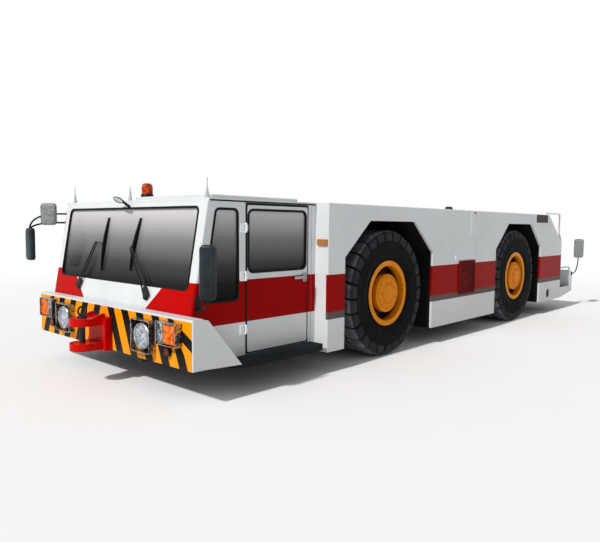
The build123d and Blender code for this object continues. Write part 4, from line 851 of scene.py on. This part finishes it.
# Engine top under the lid: two rocker covers, intake pipe, air cleaner, filler caps and hoses
engine = {"top": 1.460, "rear": -0.80, "front": 0.45, "coverY": 0.20}
castings = []
top, rear, front = engine["top"], engine["rear"], engine["front"]
for sign in (-1, 1):
    y = sign * engine["coverY"]
    castings.append(block((rear, y - 0.075, top - 0.01), (front, y + 0.075, top + 0.085), 0.018, 3))
    for low in (y - 0.055, y, y + 0.055):
        castings.append(block((rear + 0.04, low - 0.004, top + 0.08),
                              (front - 0.04, low + 0.004, top + 0.091), 0.002, 1))
    ends = [(x, y - 0.028, top + 0.084) for x in (rear + 0.06, front - 0.06)]
    castings.append(inRow(boltMesh(0.009, 0.012, 0.013, 1, "Z"), "alloy", 7, *ends))
    castings.append(turned([(0, 0.07), (0.030, 0.07), (0.030, 0.105), (0.026, 0.112), (0, 0.112)],
                           (0.30 * sign, y, top), "Z", 24))
addPiece("rocker_covers", castings, "alloy")
pipes = [tube([(-0.62, 0.0, 1.50), (-0.62, 0.0, 1.60), (-0.30, 0.0, 1.62), (0.10, 0.0, 1.60),
               (0.40, 0.02, 1.56), (0.47, 0.10, 1.50)], 0.034, smooth=True)]
for k in range(5):
    x = -0.60 + 0.22 * k
    pipes += [tube([(x, 0.0, 1.585), (x, sign * 0.05, 1.58), (x, sign * 0.11, 1.53)], 0.017,
                   smooth=True) for sign in (-1, 1)]
addPiece("intake_pipes", pipes, "engine", smooth=True)
half = [(0.086, 0.096), (0.082, 0.10), (0.082, 0.16), (0.070, 0.17), (0, 0.17)]
cleaner = turned([(r, -t) for r, t in half[::-1]] + half, (-0.74, 0.0, 1.60), "Y", 32)
addPiece("air_cleaner", cleaner, "plastic", smooth=True)
hoses = [
    tube([(0.46, -0.30, 1.44), (0.44, -0.32, 1.56), (0.20, -0.34, 1.60), (-0.10, -0.34, 1.56),
          (-0.30, -0.35, 1.44)], 0.019, smooth=True),
    tube([(0.50, 0.33, 1.44), (0.42, 0.35, 1.53), (0.05, 0.35, 1.55), (-0.45, 0.35, 1.52),
          (-0.62, 0.34, 1.44)], 0.014, smooth=True)]
addPiece("engine_hoses", hoses, "seal", smooth=True)
print("deck and engine top made")

# Cab: dials in the dashboard's face, switches and pedals
dash = {
    "top": Vector((4.120, 0, 0.960)), "foot": Vector((4.090, 0, 0.900)),
    "dials": (0.385, 0.455, 0.665, 0.735), "dialZ": 0.034, "dialR": 0.026, "faceR": 0.022,
    "tickR": 0.018,
    "switches": ((3, 0.500, 0.620), (6, 0.10, 0.30), (4, -0.30, -0.15)),    # count, first and last
}
lean = (dash["top"] - dash["foot"]).normalized()


def onDash(u, v, w):
    return dash["foot"] + Vector((0, u, 0)) + lean * v + Vector((-lean.z, 0, lean.x)) * w


rims, faces, marks = [], [], []
for y in dash["dials"]:
    hole = circle(y, dash["dialZ"], dash["faceR"])
    rims.append(ringPlate(circle(y, dash["dialZ"], dash["dialR"]), hole, onDash, 0.0, 0.006))
    faces.append(plate(hole, onDash, 0.0, 0.002))
    needle = [(y - 0.0015, 0.030), (y + 0.0015, 0.030), (y + 0.011, 0.049), (y + 0.009, 0.050)]
    marks.append(plate(needle, onDash, 0.0018, 0.003))
    for k in range(7):
        turn = radians(-30 + 40 * k)
        u, v = y + dash["tickR"] * cos(turn), dash["dialZ"] + dash["tickR"] * sin(turn)
        tick = rectangle(u - 0.001, v - 0.002, u + 0.001, v + 0.002)
        marks.append(plate(tick, onDash, 0.0018, 0.0026))
addPiece("dial_rims", rims, "steel")
addPiece("dial_faces", faces, "dial")
addPiece("dial_marks", marks, "dialWhite")
switch = plate(roundedOutline(-0.012, 0.016, 0.012, 0.052, 0.004, 2), onDash, 0.0, 0.007, 0.0015)
rows = [inRow(switch, "plastic", count, (0.0, first, 0.0), (0.0, last, 0.0))
        for count, first, last in dash["switches"]]
addPiece("dash_switches", rows, "plastic")
pad = [(4.150, 0.480), (4.160, 0.472), (4.212, 0.560), (4.202, 0.568)]
pedals = []
for y in (0.47, 0.65):
    pedals += [plate(pad, lambda u, v, w: (u, w, v), y - 0.036, y + 0.036, 0.002),
               tube([(4.185, y, 0.520), (4.260, y, 0.560), (4.315, y, 0.660)], 0.009)]
addPiece("pedals", pedals, "steel")
print("cab controls made")

seat = {
    "depth": (3.207, 3.647), "half": 0.230, "height": (0.700, 0.810),
    "places": {"left": 0.560, "right": -0.670}, "backHalf": 0.220, "backHeight": 0.545,
    "backLow": (3.1918, 3.2915, 0.815), "backHigh": (3.118, 3.218, 1.358), "inset": 0.012,
    "voxel": 0.009, "pressure": 4.0, "frames": 20, "cap": 0.014, "channels": (-0.078, 0.078),
    "channelDeep": 0.010, "channelWide": 0.009, "piping": 0.0045,
}


# Fills a pad as foam fills its cover: voxel remesh, cloth under pressure, capped movement, one
# subdivision
def stuffed(mesh):
    rough = linked("rough", mesh)
    remesh = rough.modifiers.new("remesh", "REMESH")
    remesh.mode, remesh.voxel_size = "VOXEL", seat["voxel"]
    start = settled(rough)
    bpy.data.objects.remove(rough)
    cover = linked("cover", start)
    cloth = cover.modifiers.new("cover", "CLOTH")
    cloth.settings.use_pressure = True
    cloth.settings.uniform_pressure_force = seat["pressure"]
    cloth.settings.effector_weights.gravity = 0.0
    cloth.settings.quality = 5
    cloth.point_cache.frame_start, cloth.point_cache.frame_end = 1, seat["frames"]
    for step in range(1, seat["frames"] + 1):
        scene.frame_set(step)
    blown = settled(cover)
    cover.modifiers.remove(cloth)
    scene.frame_set(1)
    for vertex, moved in zip(start.vertices, blown.vertices):
        way = moved.co - vertex.co
        vertex.co += way * min(1.0, seat["cap"] / max(way.length, 1e-6))
    refine = cover.modifiers.new("refine", "SUBSURF")
    refine.levels = refine.render_levels = 1
    result = settled(cover)
    bpy.data.objects.remove(cover)
    return result


# Presses the sewn channels into the side that is sat on: it faces along the given direction
def pressChannels(mesh, facing):
    facing = Vector(facing).normalized()
    normals = [vertex.normal.copy() for vertex in mesh.vertices]
    for vertex, normal in zip(mesh.vertices, normals):
        towards = max(0.0, normal.dot(facing))
        for line in seat["channels"]:
            away = (vertex.co.y - line) / seat["channelWide"]
            vertex.co -= facing * seat["channelDeep"] * towards * 2.718 ** (-away * away)


inset, half = seat["inset"], seat["half"]
(x0, x1), (z0, z1) = seat["depth"], seat["height"]
cushion = stuffed(block((x0 + inset, inset - half, z0 + 0.006), (x1 - inset, half - inset, z1 - inset),
                        0.040, 4))
pressChannels(cushion, (0, 0, 1))
high = seat["backHalf"] - inset
ends = ((*seat["backLow"], inset), (*seat["backHigh"], -inset))
back = stuffed(loft([[(x, y, z + rise) for x, y in rectangle(rear + 0.008, -high, front - inset, high)]
                     for rear, front, z, rise in ends], 0.036, 4))
pressChannels(back, (0.99, 0, 0.13))
backX = (seat["backLow"][1] + seat["backHigh"][1]) / 2 - 0.016
pipings = {
    "cushion": [(x, y, z1 - 0.026) for x, y in roundedOutline(x0, -half, x1, half, 0.05, 6)],
    "back": [(backX - (v - 0.26) * 0.129, u, seat["backLow"][2] + v) for u, v in
             roundedOutline(-seat["backHalf"], 0.0, seat["backHalf"], seat["backHeight"], 0.06, 6)],
}
for name, across in seat["places"].items():
    for part, mesh, fill in (("cushion", cushion, 0.75), ("back", back, 0.7)):
        own = mesh.copy()
        own.transform(Matrix.Translation((0, across, 0)))
        pad = addPiece(f"seat_{part}_{name}", own, "cloth", stands=["seat_cushions"], smooth=True)
        bpy.context.view_layer.update()
        snapped = [pad.closest_point_on_mesh(Vector((x, y + across, z)))[1]
                   for x, y, z in pipings[part]]
        piping = tube(snapped, seat["piping"], closed=True)
        addPiece(f"seat_piping_{part}_{name}", piping, "vinyl", smooth=True)
print("seats made")

# Mirror heads: a round-cornered housing with a domed back and a glass set into its face, given by the
# middle, the direction that the glass faces, half the width and height, half the depth and the finish
mirrors = {
    "left": ((4.455, 1.452, 1.140), 218.0, (0.070, 0.230), 0.028, "housing"),
    "right": ((4.475, -1.402, 1.637), 212.0, (0.095, 0.125), 0.025, "mottled"),
    "slim": ((4.640, -1.520, 1.295), 180.0, (0.075, 0.183), 0.028, "housing"),
    "rear": ((-4.644, 1.509, 1.145), 180.0, (0.086, 0.183), 0.027, "mottled"),
}
dome = ((0.45, -1.0), (0.72, -0.93), (0.90, -0.72), (0.985, -0.35), (1.0, 0.1), (1.0, 0.85),
        (0.97, 1.0))                                 # share of the outline and of half the depth
arms = (
    ((4.3876, 1.236, 0.815), (4.455, 1.452, 0.815), (4.455, 1.452, 0.935)),
    ((4.341, 1.236, 1.160), (4.430, 1.350, 1.160), (4.450, 1.430, 1.160)),
    ((4.258, -1.346, 1.640), (4.636, -1.518, 1.660), (4.640, -1.520, 1.460)),
    ((4.276, -1.346, 1.540), (4.600, -1.500, 1.550), (4.640, -1.520, 1.465)),
    ((-4.600, 1.416, 0.655), (-4.644, 1.509, 0.655), (-4.644, 1.509, 0.990)),
)
brackets = ((4.3876, 0.855, 1.230, 0.075), (4.341, 1.160, 1.230, 0.030), (4.258, 1.640, -1.340, 0.030),
            (4.276, 1.540, -1.340, 0.030), (-4.600, 0.645, 1.410, 0.030))    # x, z, wall, half height
oval = {"at": (4.390, -0.040, 1.770), "halfY": 0.094, "halfZ": 0.027, "tilt": 0.25, "rim": 0.008}


def onHead(middle, facing):
    turn = radians(facing)
    out, across = Vector((cos(turn), sin(turn), 0)), Vector((-sin(turn), cos(turn), 0))
    return lambda u, v, w: Vector(middle) + across * u + Vector((0, 0, v)) + out * w


def onOval(u, v, w):
    (x, y, z), c, s = oval["at"], cos(oval["tilt"]), sin(oval["tilt"])
    return x + w, y + u * c + v * s, z + v * c - u * s


# The three pieces of one mirror: rim and glass are each (back, front) over the head's middle
def addMirror(name, rows, place, edge, glass, key, rim, pane):
    addPiece(f"mirror_head_{name}", loft(rows), key, stands=["mirrors"], smooth=True)
    addPiece(f"mirror_rim_{name}", ringPlate(edge, glass, place, *rim), "seal", stands=["mirrors"])
    addPiece(f"mirror_glass_{name}", plate(glass, place, *pane), "mirror", stands=["mirrors"])


for name, (middle, facing, (u, v), deep, key) in mirrors.items():
    place = onHead(middle, facing)
    rows = [[place(a, b, level * deep) for a, b in roundedOutline(
        -u * share, -v + u * (1 - share), u * share, v - u * (1 - share), 0.042 * share, 6)]
        for share, level in dome]
    edge, glass = (roundedOutline(-u, -v, u, v, r, 6, gap)
                   for r, gap in ((0.036, 0.004), (0.031, 0.010)))
    addMirror(name, rows, place, edge, glass, key, (deep - 0.004, deep + 0.002),
              (deep - 0.004, deep + 0.0005))
stays = [tube(points, 0.010, smooth=True) for points in arms]
for x, z, wall, tall in brackets:
    outline = roundedOutline(x - 0.028, z - tall, x + 0.028, z + tall, 0.008)
    stays.append(plate(outline, onWall(1 if wall > 0 else -1, abs(wall)), 0.001, 0.012, 0.002))
stays.append(tube([(4.381, 0.030, 1.754), (4.310, 0.004, 1.720), (4.268, -0.014, 1.700)], 0.014))
addPiece("mirror_arms", stays, "plastic", stands=["mirrors"], smooth=True)


def ovalLine(wide, high, share=1.0):
    return [(u * wide * share, v * high * share) for u, v in circle(0, 0, 1, 48)]


rows = [[onOval(u, v, w) for u, v in ovalLine(oval["halfY"], oval["halfZ"], share)]
        for share, w in ((0.35, -0.030), (0.70, -0.027), (0.92, -0.018), (1.0, -0.008), (1.0, -0.003))]
addMirror("round", rows, onOval, ovalLine(oval["halfY"], oval["halfZ"]),
          ovalLine(oval["halfY"] - oval["rim"], oval["halfZ"] - oval["rim"]), "housing",
          (-0.004, 0.0), (-0.004, -0.0015))

# Wipers: a boss, two rods that close in an arc, a link, and a sprung blade that is deepest in its
# middle; the places of pivot, elbow, blade's top and blade's foot are (y, height)
wiper = {
    "x": 4.4156, "z": 0.955, "lean": 0.1773, "rod": 0.007, "rodOver": 0.025, "apart": 0.052,
    "apartTop": 0.034, "bow": 0.030, "bladeHalf": 0.007,
    "boss": ((0.026, 0.0005), (0.026, 0.022), (0.020, 0.032), (0.010, 0.034)),
    "places": {"right": ((-0.795, 0.877), (-0.527, 1.347), (-0.373, 1.599), (-0.379, 1.049)),
               "left": ((0.523, 0.852), (0.152, 1.290), (0.228, 1.594), (0.166, 1.077))},
}


# A point at a width and a height on the raked front, w over it
def onScreen(y, height, w):
    c, s = cos(wiper["lean"]), sin(wiper["lean"])
    up = (height - wiper["z"]) / c
    return Vector((wiper["x"] - s * up + c * w, y, height + s * w))


for name, places in wiper["places"].items():
    pivot, elbow, top, foot = (Vector(p) for p in places)
    rise = (elbow - pivot).normalized()
    away = Vector((rise.y, -rise.x))
    low, high, over = wiper["apart"], wiper["apartTop"], wiper["rodOver"]
    boss = loft([[onScreen(u, v, w) for u, v in circle(*pivot, r)] for r, w in wiper["boss"]])
    bend = elbow - rise * high / 2
    line = [pivot, bend]
    line += [bend + (away * (1 - cos(pi * k / 6)) + rise * sin(pi * k / 6)) * high / 2
             for k in range(1, 6)]
    line += [bend + away * high, pivot + away * low]
    rods = tube([onScreen(*p, over) for p in line], wiper["rod"])
    reach = (elbow - pivot).length * 0.16
    shoe = [pivot + away * a + rise * b for a, b in
            ((-0.014, -0.020), (low + 0.014, -0.020), (low + 0.006, reach), (-0.006, reach))]
    link = tube([onScreen(*(elbow + away * high / 2), over),
                 onScreen(*((top + foot) / 2), wiper["bow"] - 0.006)], 0.006)
    along = top - foot
    beside = Vector((along.y, -along.x)).normalized() * wiper["bladeHalf"]

    def onBlade(t, w, share):
        return onScreen(*(foot + along * t + beside * share), w)

    half = [(0.0, 0.003), (0.0, 0.006), (0.12, 0.014), (0.30, 0.025)]
    bow = half + [(0.50, wiper["bow"])] + [(1 - t, w) for t, w in half[::-1]]
    rubber = [(0.0, -0.012), (0.0, 0.0035), (1.0, 0.0035), (1.0, -0.012)]
    parts = [boss, rods, plate(shoe, onScreen, 0.016, 0.033, 0.002), link,
             plate(bow, onBlade, -1, 1, 0.001), plate(rubber, onBlade, -0.5, 0.5)]
    addPiece(f"wiper_{name}", parts, "plastic", stands=["wipers"])

tail = {"x": -4.630, "y": 1.180, "z": 0.560, "box": (-0.130, -0.055, 0.130, 0.055), "frame": 0.012,
        "proud": 0.022}
for name, sign in sides.items():
    outer, inner = (roundedOutline(*tail["box"], r, gap=gap)
                    for r, gap in ((0.014, -tail["frame"]), (0.006, 0.0)))
    onTail = lambda u, v, w: (tail["x"] - w, sign * tail["y"] + u, tail["z"] + v)
    lampFrame = ringPlate(outer, inner, onTail, 0.0, tail["proud"])
    addPiece(f"tail_lamp_frame_{name}", lampFrame, "plastic")
print("mirrors and tail lamps made")

view = {"at": (7.468, 5.241, 1.532), "turns": (-137.4657, -4.4169, 0.5572), "lens": 35.145}
yaw, pitch, roll = (radians(turn) for turn in view["turns"])
ahead = Vector((cos(pitch) * cos(yaw), cos(pitch) * sin(yaw), sin(pitch)))
right = ahead.cross(Vector((0, 0, 1))).normalized()
up = right.cross(ahead)
right, up = right * cos(roll) + up * sin(roll), up * cos(roll) - right * sin(roll)
camera = linked("camera", bpy.data.cameras.new("camera"))
camera.matrix_world = Matrix.Translation(view["at"]) @ Matrix((right, up, -ahead)).transposed().to_4x4()
camera.data.lens = view["lens"]
camera.data.sensor_width = 36
camera.data.clip_end = 300
scene.camera = camera

light = {"toward": (0.74, 0.03, 0.67), "strength": 2.6, "colour": (1.0, 0.985, 0.965), "spread": 3.0,
         "sky": 0.38, "skyColour": (0.97, 0.985, 1.0, 1.0), "floor": "#f4f4f4", "white": (1, 1, 1, 1),
         "fade": (6.0, 14.0)}                        # the floor turns into the backdrop
sunData = bpy.data.lights.new("keyLight", "SUN")
sunData.energy = light["strength"]
sunData.color = light["colour"]
sunData.angle = radians(light["spread"])
sun = linked("keyLight", sunData)
sun.rotation_mode = "QUATERNION"
sun.rotation_quaternion = Vector(light["toward"]).to_track_quat("Z", "Y")

world = bpy.data.worlds.new("studio")
scene.world = world
world.use_nodes = True
world.node_tree.nodes.clear()
add = partial(addNode, world.node_tree)
ray = add("LightPath").node.outputs
seen = add("Math MAXIMUM", [ray["Is Camera Ray"], ray["Is Glossy Ray"]])
seen = add("Math MAXIMUM", [seen, ray["Is Transmission Ray"]])
level = add("MapRange", [seen, 0.0, 1.0, light["sky"], 1.0])
tint = add("Mix", {0: seen, 6: light["skyColour"], 7: light["white"]}, 2, data_type="RGBA")
add("OutputWorld", [add("Background", {"Color": tint, "Strength": level})])

floorMaterial, add, spot = startMaterial("paleFloor")
far = add("VectorMath LENGTH", [spot], "Value")
fade = add("MapRange", [far, *light["fade"], 0.0, 1.0], interpolation_type="SMOOTHSTEP")
seen = add("LightPath", out="Is Camera Ray")
pale = add("Mix", {0: seen, 6: srgb(light["floor"]), 7: light["white"]}, 2, data_type="RGBA")
matt = add("BsdfDiffuse", {"Color": pale})
glow = add("Emission", {"Color": light["white"], "Strength": 1.0})
add("OutputMaterial", [add("MixShader", [fade, matt, glow])])
floorMesh = turned([(0, 0), (12, 0), (40, 0), (120, 0)], (0, 0, 0), "Z", 64)
if floorMesh.polygons[0].normal.z < 0:
    floorMesh.flip_normals()
floorMesh.materials.append(floorMaterial)
floor = linked("floor", floorMesh)
scene.view_settings.view_transform = "Standard"
print("stage, light and camera made")
